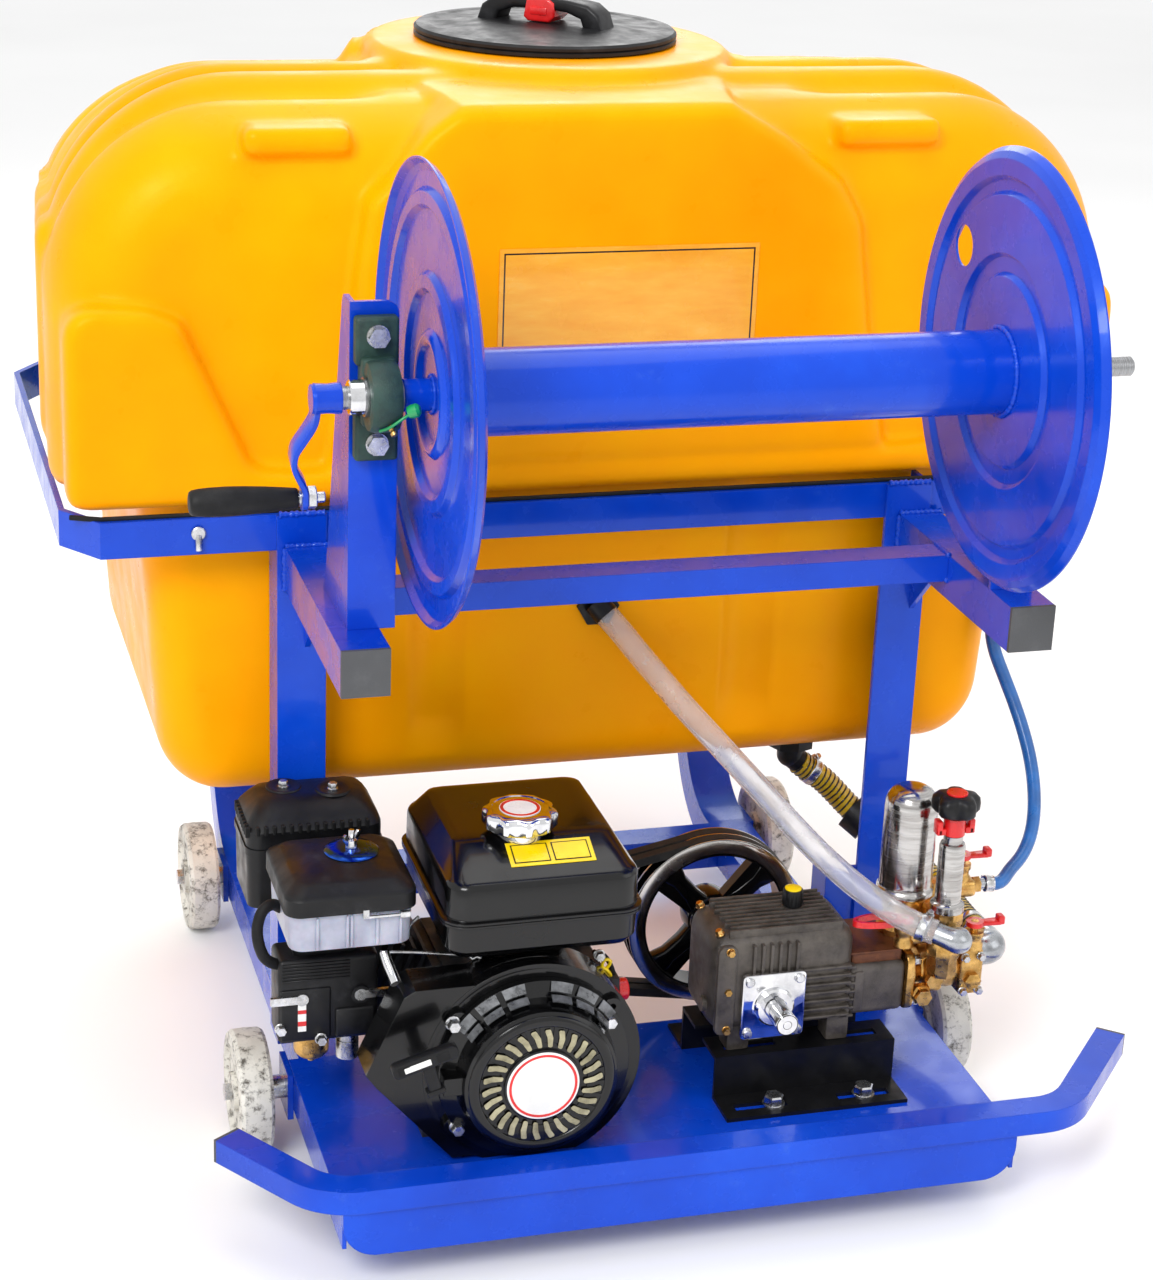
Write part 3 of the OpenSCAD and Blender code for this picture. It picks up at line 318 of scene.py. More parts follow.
def sticker():
    """Clear film on the tank with a thin dark frame near its edge."""
    look = Look("label_film", Roughness=0.22, Coat_Weight=0.3)
    parts = look.node("ShaderNodeSeparateXYZ")
    look.link(look.where, parts.inputs["Vector"])
    low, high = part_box("label_plate")

    def maths(operation, *values):
        """A maths node fed by outputs and plain numbers."""
        made = look.node("ShaderNodeMath", operation=operation)
        for socket, value in zip(made.inputs, values):
            if isinstance(value, float):
                socket.default_value = value
            else:
                look.link(value, socket)
        return made.outputs[0]

    def band(axis, inset=0.005, width=0.0008):
        """1 on the two lines that lie inset from the ends of a side, and 1 between them."""
        away = maths("ABSOLUTE", maths("SUBTRACT", parts.outputs[axis], float((low[axis] + high[axis]) / 2)))
        edge = float((high[axis] - low[axis]) / 2) - inset
        return maths("COMPARE", away, edge, width), maths("LESS_THAN", away, edge + width)

    (line_x, in_x), (line_z, in_z) = band(0), band(2)
    frame_line = maths("MAXIMUM", maths("MULTIPLY", line_x, in_z), maths("MULTIPLY", line_z, in_x))
    streaks = look.noise(14, 6, 0.7, (1, 1, 5))
    film = look.ramp(streaks, [(0.3, linear("f29a10")), (0.6, linear("f9ae2c")), (0.8, linear("fbc25c"))])
    look.colour(look.mix(frame_line, film, linear("2a1608")))
    look.roughness(look.spread(look.noise(30, 5), 0.16, 0.3))
    look.bump(look.noise(40, 3), 0.1, 0.0008)
    return look.material


MATS = {
    "enamel": enamel(),
    "tank": tank_plastic(),
    "black": moulded("black_plastic", "101012", 0.42),
    "grey": moulded("grey_plastic", "4d4e50", 0.55, 0.35, "77787a"),
    "rubber": moulded("grip_rubber", "0d0d0e", 0.6, 0.4, "3a3a3a"),
    "gloss": gloss_black(),
    "zinc": metal("zinc_plate", "dcdde0", 0.26, "9c9b96"),
    "chrome": metal("chrome", "e8e8ea", 0.07, "b9babd", 25, None, 0.03),
    "shaft": metal("turned_steel", "aeb0b4", 0.25, "6c6a66", 40, (40, 1, 1)),
    "window": cast("window_grey", "85878a", "2a2b2d", 0.35, 0.6),
    "polished": metal("polished_rim", "d6d2cf", 0.16, "a49e98", 12, None, 0.03),
    "brass": metal("brass", "dcb06a", 0.3, "9a7236", 70, None, 0.35),
    "bearing": cast("bearing_green", "2c4a40", "152822", 0.5, 0.1),
    "alloy": cast("engine_alloy", "3a3b3d", "161617", 0.55, 0.4),
    "pump": cast("pump_cast", "5a544e", "302b27", 0.42, 0.35),
    "copper": cast("plunger_cover", "7a4a30", "3a2218", 0.42, 0.5),
    "wheel": wheel_polymer(),
    "clear": clear_pvc(),
    "blue_hose": soft_pvc("blue_pvc", "1a66b0", "0f4a88"),
    "yellow_hose": soft_pvc("yellow_pvc", "d8b21a", "b48d0c"),
    "spiral": soft_pvc("hose_spiral", "18170f", "0a0a08"),
    "red": red_plastic(),
    "belt": belt_rubber(),
    "matt": moulded("matt_black_steel", "0f0f11", 0.38, 0.15, "36363a"),
    "sticker": sticker(),
    "filter": filter_plastic(),
    "yellow": soft_pvc("yellow_plastic", "fbdc00", "efc800"),
    "green": soft_pvc("green_plastic", "17a05a", "0c7a40"),
    "blue_zinc": metal("blue_washer", "2f63c9", 0.2, "16388c", 30),
    "white": soft_pvc("white_plastic", "f1f1ee", "dcdcd8"),
    "screen": cast("flywheel_screen", "b9b291", "6f6950", 0.45, 0.3),
    "grey_cast": cast("grey_casting", "5a5450", "38332f", 0.5, 0.3),
    "stainless": metal("stainless", "c4c2c0", 0.16, "8f8b88", 18, (1, 1, 14), 0.05),
    "fitting": metal("dull_chrome", "b9bcc0", 0.24, "85878a", 40, None, 0.12),
}

# ---------------------------------------------------------------- building

def dress(obj, material, body="root", smooth=35):
    """Material, shading and the moving part that a new piece rides on."""
    obj.data.materials.clear()
    obj.data.materials.append(MATS[material])
    work = bmesh.new()
    work.from_mesh(obj.data)
    bmesh.ops.recalc_face_normals(work, faces=work.faces)
    work.to_mesh(obj.data)
    work.free()
    obj.data.shade_smooth()
    obj.data.set_sharp_from_angle(angle=math.radians(smooth))
    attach(obj, body)
    return obj


def from_bmesh(name, work, material, body="root", smooth=35):
    """One piece from a bmesh, with its material and its body."""
    mesh = bpy.data.meshes.new(name)
    work.to_mesh(mesh)
    work.free()
    obj = bpy.data.objects.new(name, mesh)
    bpy.context.collection.objects.link(obj)
    return dress(obj, material, body, smooth)


def merged(name, parts, material, body="root", smooth=35):
    """One piece from several bmeshes."""
    whole = bmesh.new()
    for part in parts:
        mesh = bpy.data.meshes.new("part")
        part.to_mesh(mesh)
        part.free()
        whole.from_mesh(mesh)
        bpy.data.meshes.remove(mesh)
    return from_bmesh(name, whole, material, body, smooth)


def place(work, matrix):
    """Transforms a bmesh."""
    bmesh.ops.transform(work, matrix=matrix, verts=work.verts)
    return work


def spin(degrees, axis):
    """Rotation about the X, Y or Z axis."""
    return Matrix.Rotation(math.radians(degrees), 4, axis)


def moved(work, spot, turn=Matrix.Identity(4)):
    """Takes a shape drawn about the posts' origin to a spot, turned about itself."""
    return place(work, Matrix.Translation(spot) @ turn @ Matrix.Translation(-P(0, 0, 0)))


def rod(radius, height, centre, axis, steps=24):
    """A plain cylinder that stands on centre along an axis."""
    return lathe([(0, 0), (radius, 0), (radius, height), (0, height)], centre, axis, steps)


def collar(inner, outer, low, high, centre, axis, steps=48):
    """A plain ring between two radii and two heights along an axis."""
    return lathe([(inner, low), (outer, low), (outer, high), (inner, high), (inner, low)], centre, axis,
                 steps)


def axis_matrix(centre, axis):
    """Puts a shape drawn along +Z on an axis through centre."""
    turn = Vector(UP).rotation_difference(Vector(axis).normalized()).to_matrix().to_4x4()
    return Matrix.Translation(centre) @ turn


def block(low, high, bevel=0.0, segments=3):
    """A box between two corners in millimetres, y from the posts, with rounded edges."""
    a, b = P(*low), P(*high)
    work = bmesh.new()
    bmesh.ops.create_cube(work, size=1)
    place(work, Matrix.Translation((a + b) / 2) @ Matrix.Diagonal((*(b - a), 1)))
    if bevel:
        bmesh.ops.bevel(work, geom=work.edges[:], offset=bevel * MM, segments=segments, profile=0.5,
                        affect="EDGES", clamp_overlap=True)
    return work


def prism(outline, low, high, axis="y", bevel=0.0, segments=3):
    """An outline in millimetres pushed from low to high along an axis, with its two rims rounded.
    The outline holds (x, z) for axis y, (y, z) for axis x and (x, y) for axis z."""
    spots = {
        "y": lambda u, v, t: P(u, t, v),
        "x": lambda u, v, t: P(t, u, v),
        "z": lambda u, v, t: P(u, v, t),
    }[axis]
    work = bmesh.new()
    rings = [[work.verts.new(spots(u, v, t)) for u, v in outline] for t in (low, high)]
    count = len(outline)
    caps = [work.faces.new(rings[0]), work.faces.new(rings[1][::-1])]
    for i in range(count):
        j = (i + 1) % count
        work.faces.new((rings[0][i], rings[1][i], rings[1][j], rings[0][j]))
    bmesh.ops.recalc_face_normals(work, faces=work.faces)
    if bevel:
        rims = [e for cap in caps for e in cap.edges]
        bmesh.ops.bevel(work, geom=rims, offset=bevel * MM, segments=segments, profile=0.5,
                        affect="EDGES", clamp_overlap=True)
    return work


def lathe(profile, centre, axis, steps=48, sweep=360):
    """Turns (radius, height) points in millimetres round an axis through centre, a point in metres."""
    work = bmesh.new()
    full = sweep == 360
    rows = []
    for r, h in profile:
        if r < 1e-6:
            rows.append([work.verts.new((0, 0, h * MM))])
            continue
        count = steps if full else steps + 1
        turns = [math.radians(sweep) * k / steps for k in range(count)]
        rows.append([work.verts.new((r * MM * math.cos(a), r * MM * math.sin(a), h * MM)) for a in turns])
    for one, two in zip(rows, rows[1:]):
        for k in range(steps):
            n = (k + 1) % steps if full else k + 1
            corners = [one[k % len(one)], one[n % len(one)], two[n % len(two)], two[k % len(two)]]
            unique = list(dict.fromkeys(corners))
            if len(unique) > 2:
                work.faces.new(unique)
    bmesh.ops.recalc_face_normals(work, faces=work.faces)
    return place(work, axis_matrix(centre, axis))


def smooth_path(points, step=0.004):
    """Points a step apart along a smooth curve through the given points."""
    pts = [Vector(p) for p in points]
    ends = [2 * pts[0] - pts[1]] + pts + [2 * pts[-1] - pts[-2]]
    out = []
    for a, b, c, d in zip(ends, ends[1:], ends[2:], ends[3:]):
        count = max(1, int((c - b).length / step))
        for i in range(count):
            t = i / count
            out.append(0.5 * ((2 * b) + (c - a) * t + (2 * a - 5 * b + 4 * c - d) * t * t
                              + (3 * b - a - 3 * c + d) * t ** 3))
    return out + [pts[-1]]


def frames_along(path):
    """Direction, side and up at each point of a path, without twist."""
    ahead = [(path[min(i + 1, len(path) - 1)] - path[max(i - 1, 0)]).normalized() for i in range(len(path))]
    side = ahead[0].cross(Vector(UP) if abs(ahead[0].z) < 0.9 else Vector(RIGHT)).normalized()
    out = []
    for direction in ahead:
        side = (side - side.dot(direction) * direction).normalized()
        out.append((direction, side, direction.cross(side)))
    return out


def sweep(path, radius, sides=20, wall=None):
    """A tube along a path. radius is metres or a function of the point's index, and wall makes it hollow."""
    work = bmesh.new()
    size = radius if callable(radius) else (lambda i: radius)
    rims = []
    for inner in ((0.0,) if wall is None else (0.0, wall)):
        rows = []
        for i, (centre, (_, side, up)) in enumerate(zip(path, frames_along(path))):
            r = size(i) - inner
            rows.append([work.verts.new(centre + r * (math.cos(a) * side + math.sin(a) * up))
                         for a in (2 * math.pi * k / sides for k in range(sides))])
        for one, two in zip(rows, rows[1:]):
            for k in range(sides):
                n = (k + 1) % sides
                work.faces.new((one[k], one[n], two[n], two[k]))
        rims.append((rows[0], rows[-1]))
    if wall is None:
        for rim in rims[0]:
            work.faces.new(rim)
    else:
        for outer, inside in zip(rims[0], rims[1]):
            for k in range(sides):
                n = (k + 1) % sides
                work.faces.new((outer[k], outer[n], inside[n], inside[k]))
    bmesh.ops.recalc_face_normals(work, faces=work.faces)
    return work


def arc(centre, radius, start, end, steps=12):
    """Points of an arc in a plane, angles in degrees."""
    return [(centre[0] + radius * math.cos(math.radians(start + (end - start) * i / steps)),
             centre[1] + radius * math.sin(math.radians(start + (end - start) * i / steps)))
            for i in range(steps + 1)]


def round_outline(points, radii, steps=8):
    """A closed outline whose corners are rounded, each by its own radius."""
    out = []
    count = len(points)
    for i, (corner, radius) in enumerate(zip(points, radii)):
        here = Vector(corner)
        back = (Vector(points[i - 1]) - here).normalized()
        on = (Vector(points[(i + 1) % count]) - here).normalized()
        if radius <= 0:
            out.append(tuple(here))
            continue
        half = back.angle(on) / 2
        reach = radius / math.tan(half)
        start, end = here + back * reach, here + on * reach
        middle = here + (back + on).normalized() * (radius / math.sin(half))
        a, b = start - middle, end - middle
        turn = math.atan2(a.x * b.y - a.y * b.x, a.dot(b))
        for k in range(steps + 1):
            t = turn * k / steps
            out.append((middle.x + a.x * math.cos(t) - a.y * math.sin(t),
                        middle.y + a.x * math.sin(t) + a.y * math.cos(t)))
    return out


def paint_node(name, material):
    """Gives a CAD node a material."""
    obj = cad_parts[name]
    obj.data.materials.clear()
    obj.data.materials.append(MATS[material])


# ---------------------------------------------------------------- hoses

RETURN_ROUTE = [
    (6, 30, 520), (18, 19, 506), (34, 5, 486), (54, -10, 462), (77, -28, 435), (102, -48, 408),
    (126, -70, 382), (148, -94, 358), (170, -120, 334), (193, -148, 312), (218, -178, 293), (244, -204, 278),
    (264, -221, 270), (278, -232, 266),
]
SUCTION_ROUTE = [
    (256, 112, 304), (268, 112, 294), (284, 110, 282), (298, 106, 268), (311, 99, 254), (324, 90, 242),
    (338, 74, 232), (350, 50, 224), (360, 22, 218), (367, -10, 213), (372, -44, 208), (374, -82, 204),
    (374, -118, 204),
]
BYPASS_ROUTE = [
    (432, 33, 480), (433, 32, 468), (437, 27, 450), (444, 16, 428), (451, 1, 404), (456, -16, 380),
    (458, -35, 356), (456, -55, 332), (450, -74, 310), (440, -91, 292), (426, -105, 278), (409, -116, 268),
    (393, -127, 260), (376, -127, 260),
]
RETURN_RADIUS, SUCTION_RADIUS, BYPASS_RADIUS = 12.5, 13.5, 7.0


def route_length(path):
    """Length along a path."""
    return sum((b - a).length for a, b in zip(path, path[1:]))


def hose(name, node, route, radius, material, wall=None):
    """A hose of a fixed length along its route, in place of a CAD node."""
    path = smooth_path([P(*p) for p in route])
    made = from_bmesh(name, sweep(path, radius * MM, 28, wall), material, smooth=60)
    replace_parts(made, node)
    return path


return_path = hose("clear_return_hose", "return_hose", RETURN_ROUTE, RETURN_RADIUS, "clear", 0.0028)
suction_path = hose("yellow_suction_hose", "suction_hose", SUCTION_ROUTE, SUCTION_RADIUS, "yellow_hose")
bypass_path = hose("blue_bypass_hose", "bypass_hose", BYPASS_ROUTE, BYPASS_RADIUS, "blue_hose")

# ---------------------------------------------------------------- CAD nodes

NODE_LOOKS = {
    "enamel": "rails rear_crosstube tray bumper axle_plates posts reel_arms crossbeam waist_band "
              "reel_brackets reel_drum disc_left disc_right crank_arm",
    "grey": "tube_caps",
    "wheel": "wheel_front_left wheel_front_right wheel_rear_left wheel_rear_right",
    "zinc": "wheel_axles bearing_bolts hose_clamps choke_lever throttle_lever",
    "shaft": "reel_shaft engine_pulley",
    "bearing": "bearing_housings",
    "rubber": "crank_grip",
    "tank": "tank",
    "black": "tank_lid tank_fittings air_cleaner_cover carburettor oil_cap starter_handle muffler",
    "sticker": "label_plate",
    "alloy": "engine_block",
    "gloss": "fan_cover starter_cover fuel_tank pump_pulley regulator_knob",
    "matt": "pump_base",
    "chrome": "fuel_cap air_chamber regulator",
    "filter": "air_cleaner_base",
    "red": "engine_switch regulator_lever delivery_lever bypass_lever drain_lever",
    "belt": "drive_belt",
    "pump": "pump_crankcase pump_cylinder",
    "brass": "pump_manifold",
}
for look_name, names in NODE_LOOKS.items():
    for node_name in names.split():
        paint_node(node_name, look_name)

# ---------------------------------------------------------------- tank

TANK_TOP, TANK_WAIST, TANK_FOOT = 1030, 655, 338
TOP_ROUND = 180
NECK = (0, 320)
RIM_TOP = 1052
BACK_DRAW = 0.095  # share of its width that the upper body loses by its back
BACK_FALL = 60  # how far its top drops towards the back
GROOVES = ((143, 9), (222, 13), (320, 11), (418, 13))  # y and depth of each flute across the top
RIBS = (186, 258, 382, 454)
SKIN_VOXEL = 0.0052
LID_TURN = -40


def ring_outline(low_x, high_x, low_z, high_z, top_r, foot_r, steps=14):
    """A rounded rectangle in x and z, counter-clockwise from its lower left corner."""
    return (arc((low_x + foot_r, low_z + foot_r), foot_r, 180, 270, steps)
            + arc((high_x - foot_r, low_z + foot_r), foot_r, 270, 360, steps)
            + arc((high_x - top_r, high_z - top_r), top_r, 0, 90, steps)
            + arc((low_x + top_r, high_z - top_r), top_r, 90, 180, steps))


def loft(sections):
    """Joins closed outlines of equal length, given as lists of points in metres, and caps both ends."""
    work = bmesh.new()
    rows = [[work.verts.new(p) for p in section] for section in sections]
    for one, two in zip(rows, rows[1:]):
        for k in range(len(one)):
            n = (k + 1) % len(one)
            work.faces.new((one[k], one[n], two[n], two[k]))
    work.faces.new(rows[0])
    work.faces.new(rows[-1][::-1])
    bmesh.ops.recalc_face_normals(work, faces=work.faces)
    return work


def pillow(low, high, top_r, foot_r, rim, taper=0.0, back_rim=None):
    """A body between two corners, rounded in x-z by top_r and foot_r, and at its front and back by rims.
    taper narrows its foot, in millimetres a side."""
    sections = []
    stops = [math.radians(90 * k / 10) for k in range(11)]
    back_rim = back_rim or rim
    depths = [(low[1] + rim * (1 - math.cos(t)), rim * (1 - math.sin(t))) for t in stops]
    depths += [(high[1] - back_rim * (1 - math.cos(t)),
                back_rim * (1 - math.sin(t))) for t in reversed(stops)]
    for y, inset in depths:
        outline = ring_outline(low[0] + inset, high[0] - inset, low[2] + min(inset, foot_r), high[2] - inset,
                               max(top_r - inset, 4), max(foot_r - inset, 4))
        sections.append([P(x * (1 - taper * (high[2] - z) / (high[2] - low[2]) / high[0]), y, z)
                         for x, z in outline])
    return loft(sections)


def rib(middle, half, height, reach):
    """A rounded hoop over the top and both shoulders, from reach up."""
    sections = []
    for k in range(13):
        t = math.radians(180 * k / 12)
        grow = height * math.sin(t) - 2 * (k in (0, 12))
        y = middle - half * math.cos(t)
        outline = ring_outline(-545 - max(grow, 0) * 0.1, 545 + max(grow, 0) * 0.1, reach, TANK_TOP + grow,
                               TOP_ROUND + grow, 30)
        sections.append([P(x, y, z) for x, z in outline])
    return loft(sections)


def narrowed(points):
    """Draws the upper body in towards its back and lets its top fall away there, round the neck."""
    x, y, z = points[:, 0] / MM, (points[:, 1] - POST_Y) / MM, points[:, 2] / MM
    upper = np.clip((z - 645) / 20, 0, 1)
    x = x * (1 - BACK_DRAW * upper * np.clip((y - 50) / 570, 0, 1))
    off_neck = np.clip((np.hypot(x, y - NECK[1]) - 201) / 14, 0, 1)
    out_x, out_z = np.clip((np.abs(x) - 365) / 180, 0, 1), np.clip((z - 850) / 180, 0, 1)
    sink = sum(depth * np.exp(-((y - middle) / 17) ** 2) for middle, depth in GROOVES)
    sink = sink * off_neck * np.clip((z - 880) / 60, 0, 1) * np.clip((np.abs(x) - 205) / 40, 0, 1)
    reach = np.maximum(np.hypot(out_x, out_z), 0.2)
    x = x - np.sign(x) * sink * out_x / reach
    z = z - sink * out_z / reach
    z = z - BACK_FALL * np.clip((y - 240) / 380, 0, 1) * np.clip((z - 850) / 180, 0, 1) * off_neck
    return np.stack([x * MM, y * MM + POST_Y, z * MM], 1)


def warp(obj):
    """Moves a mesh's vertices by narrowed()."""
    spots = np.empty(len(obj.data.vertices) * 3)
    obj.data.vertices.foreach_get("co", spots)
    obj.data.vertices.foreach_set("co", narrowed(spots.reshape(-1, 3)).ravel())
    obj.data.update()


def tank_shell():
    """The moulded tank: its bodies are joined by a remesh, softened, fluted and hollowed."""
    arch = [(-280, 684), (-262, 760), (-256, 878), (-246, 948), (-220, 975), (-189, 1012), (-159, 1034),
            (112, 1034), (168, 1003), (226, 960), (250, 920), (265, 818), (289, 702), (292, 684)]
    arch = round_outline(arch, [0, 0, 20, 20, 20, 20, 0, 0, 20, 20, 20, 20, 0, 0], 4)
    left_block = [(-530, 660), (-530, 856), (-452, 852), (-420, 839), (-352, 692), (-290, 686), (-290, 660)]
    left_block = round_outline(left_block, [12, 30, 20, 18, 22, 0, 0], 4)
    right_block = [(-x, z) for x, z in reversed(left_block)]
    parts = [
        pillow((-545, 42, TANK_WAIST), (545, 620, TANK_TOP), TOP_ROUND, 22, 92, 0.0, 118),
        pillow((-462, 50, TANK_FOOT), (462, 535, TANK_WAIST + 60), 30, 66, 44, 24),
        prism(arch, 20, 140, "y", 13, 4),
        prism(left_block, 20, 120, "y", 12, 4),
        prism(right_block, 20, 120, "y", 12, 4),
        block((-520, 20, 658), (520, 120, 688), 11, 4),
        prism([(-159, 26), (112, 26), (172, 260), (-194, 310)], 960, 1037, "z", 8, 3),
        prism([(x, y) for x, y in arc(NECK, 196, 0, 360, 64)[:-1]], 980, 1041, "z", 9, 3),
        lathe([(0, -110), (199, -110), (199, -13), (196, -6), (190, -1), (182, 0), (0, 0)], P(*NECK, RIM_TOP),
              UP, 72),
        block((-551, 150, 692), (551, 440, 905), 12, 4),
        block((-359, 37, 989), (-257, 130, 1015), 7, 3),
        block((226, 37, 989), (332, 130, 1015), 7, 3),
        block((-359, 470, 930), (-254, 600, 1034), 10, 4),
        block((237, 470, 930), (337, 600, 1034), 10, 4),
    ]
    parts += [rib(middle, 27, 13, 878) for middle in RIBS]
    shell = merged("tank_shell", parts, "tank")
    for kind, settings in (
        ("REMESH", {"mode": "VOXEL", "voxel_size": SKIN_VOXEL}),
        ("SMOOTH", {"factor": 0.5, "iterations": 6}),
    ):
        step = shell.modifiers.new("step", kind)
        for key, value in settings.items():
            setattr(step, key, value)
    apply_modifiers(shell)

    warp(shell)
    mesh = shell.data
    spots = np.empty(len(mesh.vertices) * 3)
    mesh.vertices.foreach_get("co", spots)
    spots = spots.reshape(-1, 3)
    x, y, z = spots[:, 0] / MM, (spots[:, 1] - POST_Y) / MM, spots[:, 2] / MM
    for middle in (-166, 164):
        across = np.clip(1 - ((x - middle) / 30) ** 2, 0, None)
        down = np.clip((z - 372) / 40, 0, 1) * np.clip((660 - z) / 40, 0, 1)
        y = y + 11 * across * down * (y < 90)
    low_band = np.clip(1 - ((z - 480) / 190) ** 2, 0, None) * (y < 120)
    y = y - 4 * low_band * np.clip(1 - (x / 430) ** 2, 0, None)
    flat = (np.abs(y - 20) < 3) & (x > -215) & (x < 230) & (z > 745) & (z < 935)
    y = np.where(flat, 19.9, y)
    spots[:, 1] = y * MM + POST_Y
    mesh.vertices.foreach_set("co", spots.ravel())
    mesh.update()

    cavity = merged("cavity", [
        pillow((-523, 60, 690), (523, 590, TANK_TOP - 26), TOP_ROUND - 16, 20, 40, 0.0, 96),
        pillow((-436, 78, TANK_FOOT + 22), (436, 510, TANK_WAIST + 50), 20, 50, 30, 24),
    ], "tank")
    warp(cavity)
    bore = from_bmesh("bore", lathe([(0, -120), (120, -120), (120, 20), (0, 20)], P(*NECK, RIM_TOP), UP, 72),
                      "tank")
    for tool in (cavity, bore):
        cut = shell.modifiers.new("cut", "BOOLEAN")
        cut.operation = "DIFFERENCE"
        cut.solver = "EXACT"
        cut.use_self = tool is cavity
        cut.object = tool
        apply_modifiers(shell)
        bpy.data.objects.remove(tool)
    return dress(shell, "tank", "root", 50)


def apply_modifiers(obj):
    """Bakes an object's modifiers into its mesh."""
    bpy.context.view_layer.update()
    graph = bpy.context.evaluated_depsgraph_get()
    baked = bpy.data.meshes.new_from_object(obj.evaluated_get(graph))
    old = obj.data
    obj.modifiers.clear()
    obj.data = baked
    bpy.data.meshes.remove(old)


tank = tank_shell()
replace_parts(tank, "tank")

# ---------------------------------------------------------------- small parts

def hexagon(centre, axis, across, height, washer=True):
    """Hexagon head with a chamfered crown, over a washer. Sizes in millimetres, centre in metres."""
    r = across / 2 / math.cos(math.radians(30))
    head = lathe([(0, 0), (r, 0), (r, height * 0.8), (r * 0.86, height), (0, height)],
                 centre + Vector(axis).normalized() * (1.6 * MM if washer else 0), axis, 6)
    if not washer:
        return [head]
    return [head, lathe([(0, 0), (across * 0.66, 0), (across * 0.66, 1.2), (across * 0.6, 1.6), (0, 1.6)],
                        centre, axis, 24)]


def hexagons(spots, axis, across, height, washer=True):
    """One hexagon head at each spot, given in millimetres."""
    return [part for spot in spots for part in hexagon(P(*spot), axis, across, height, washer)]


def bead(name, points, radius, body="root"):
    """A weld bead along a line, with the ripples of its puddles."""
    path = smooth_path(points, 0.0016)
    lump = [radius * MM * (1 + 0.22 * math.sin(1.9 * i) + 0.12 * math.sin(0.7 * i + 1))
            for i in range(len(path))]
    return from_bmesh(name, sweep(path, lambda i: lump[i], 8), "enamel", body, 80)


def stack(sections, steps=6):
    """Rounded rectangles (x0, x1, y0, y1, r, z) in millimetres joined from the lowest to the highest."""
    rows = []
    for x0, x1, y0, y1, r, z in sections:
        outline = (arc((x0 + r, y0 + r), r, 180, 270, steps) + arc((x1 - r, y0 + r), r, 270, 360, steps)
                   + arc((x1 - r, y1 - r), r, 0, 90, steps) + arc((x0 + r, y1 - r), r, 90, 180, steps))
        rows.append([P(x, y, z) for x, y in outline])
    return loft(rows)


def fluted(centre, profile, lobes, wave, steps):
    """A body of rings (radius, height, depth) in millimetres, fluted by depth * wave(lobes * angle)."""
    rows = []
    for r, h, depth in profile:
        ring = []
        for k in range(steps):
            a = 2 * math.pi * k / steps
            reach = r - depth * wave(lobes * a)
            ring.append(centre + Vector((reach * math.cos(a) * MM, reach * math.sin(a) * MM, h * MM)))
        rows.append(ring)
    return loft(rows)


def wire(name, points, radius, material, body="root", sides=12):
    """A thin round line through points in millimetres."""
    path = smooth_path([P(*p) for p in points], 0.003)
    return from_bmesh(name, sweep(path, radius * MM, sides), material, body, 60)


# ---------------------------------------------------------------- lid

def tank_lid():
    """Domed lid with a grooved rim, a bowed handle and its latch."""
    foot = RIM_TOP + 0.3
    centre = P(*NECK, foot)
    plate = lathe([(0, 0), (132, 0), (136, 1.5), (136, 4.5), (134.6, 5.6), (136, 6.8), (136, 9.5),
                   (133.5, 12), (120, 13), (118, 12), (112, 12.2), (60, 16.5), (0, 17.5)], centre, UP, 96)
    outline = [(-72, 13), (-66, 30), (-54, 38.5), (-30, 42), (0, 43), (30, 42), (54, 38.5), (66, 30),
               (72, 13), (50, 13), (46, 24), (30, 29.5), (0, 31), (-30, 29.5), (-46, 24), (-50, 13)]
    grip = prism([(x, z + foot) for x, z in outline], -17, 17, "y", 3.5, 3)
    moved(grip, P(*NECK, 0), spin(LID_TURN, "Z"))
    lid = merged("lid_with_handle", [plate, grip], "black", "lid", 40)
    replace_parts(lid, "tank_lid")
    latch = [prism([(-17, 22), (-14, 39.5), (-8, 42.5), (9, 42.5), (17, 38), (18, 24), (12, 18), (-12, 18)],
                   -19, 19, "y", 2.5, 3), block((-9, -20.5, 25), (10, 20.5, 33), 1.5, 2)]
    for part in latch:
        moved(part, P(*NECK, foot), spin(LID_TURN, "Z"))
    merged("lid_latch", latch, "red", "lid", 40)


tank_lid()

# ---------------------------------------------------------------- reel, bearings and crank

REEL = (-263.3, 846)


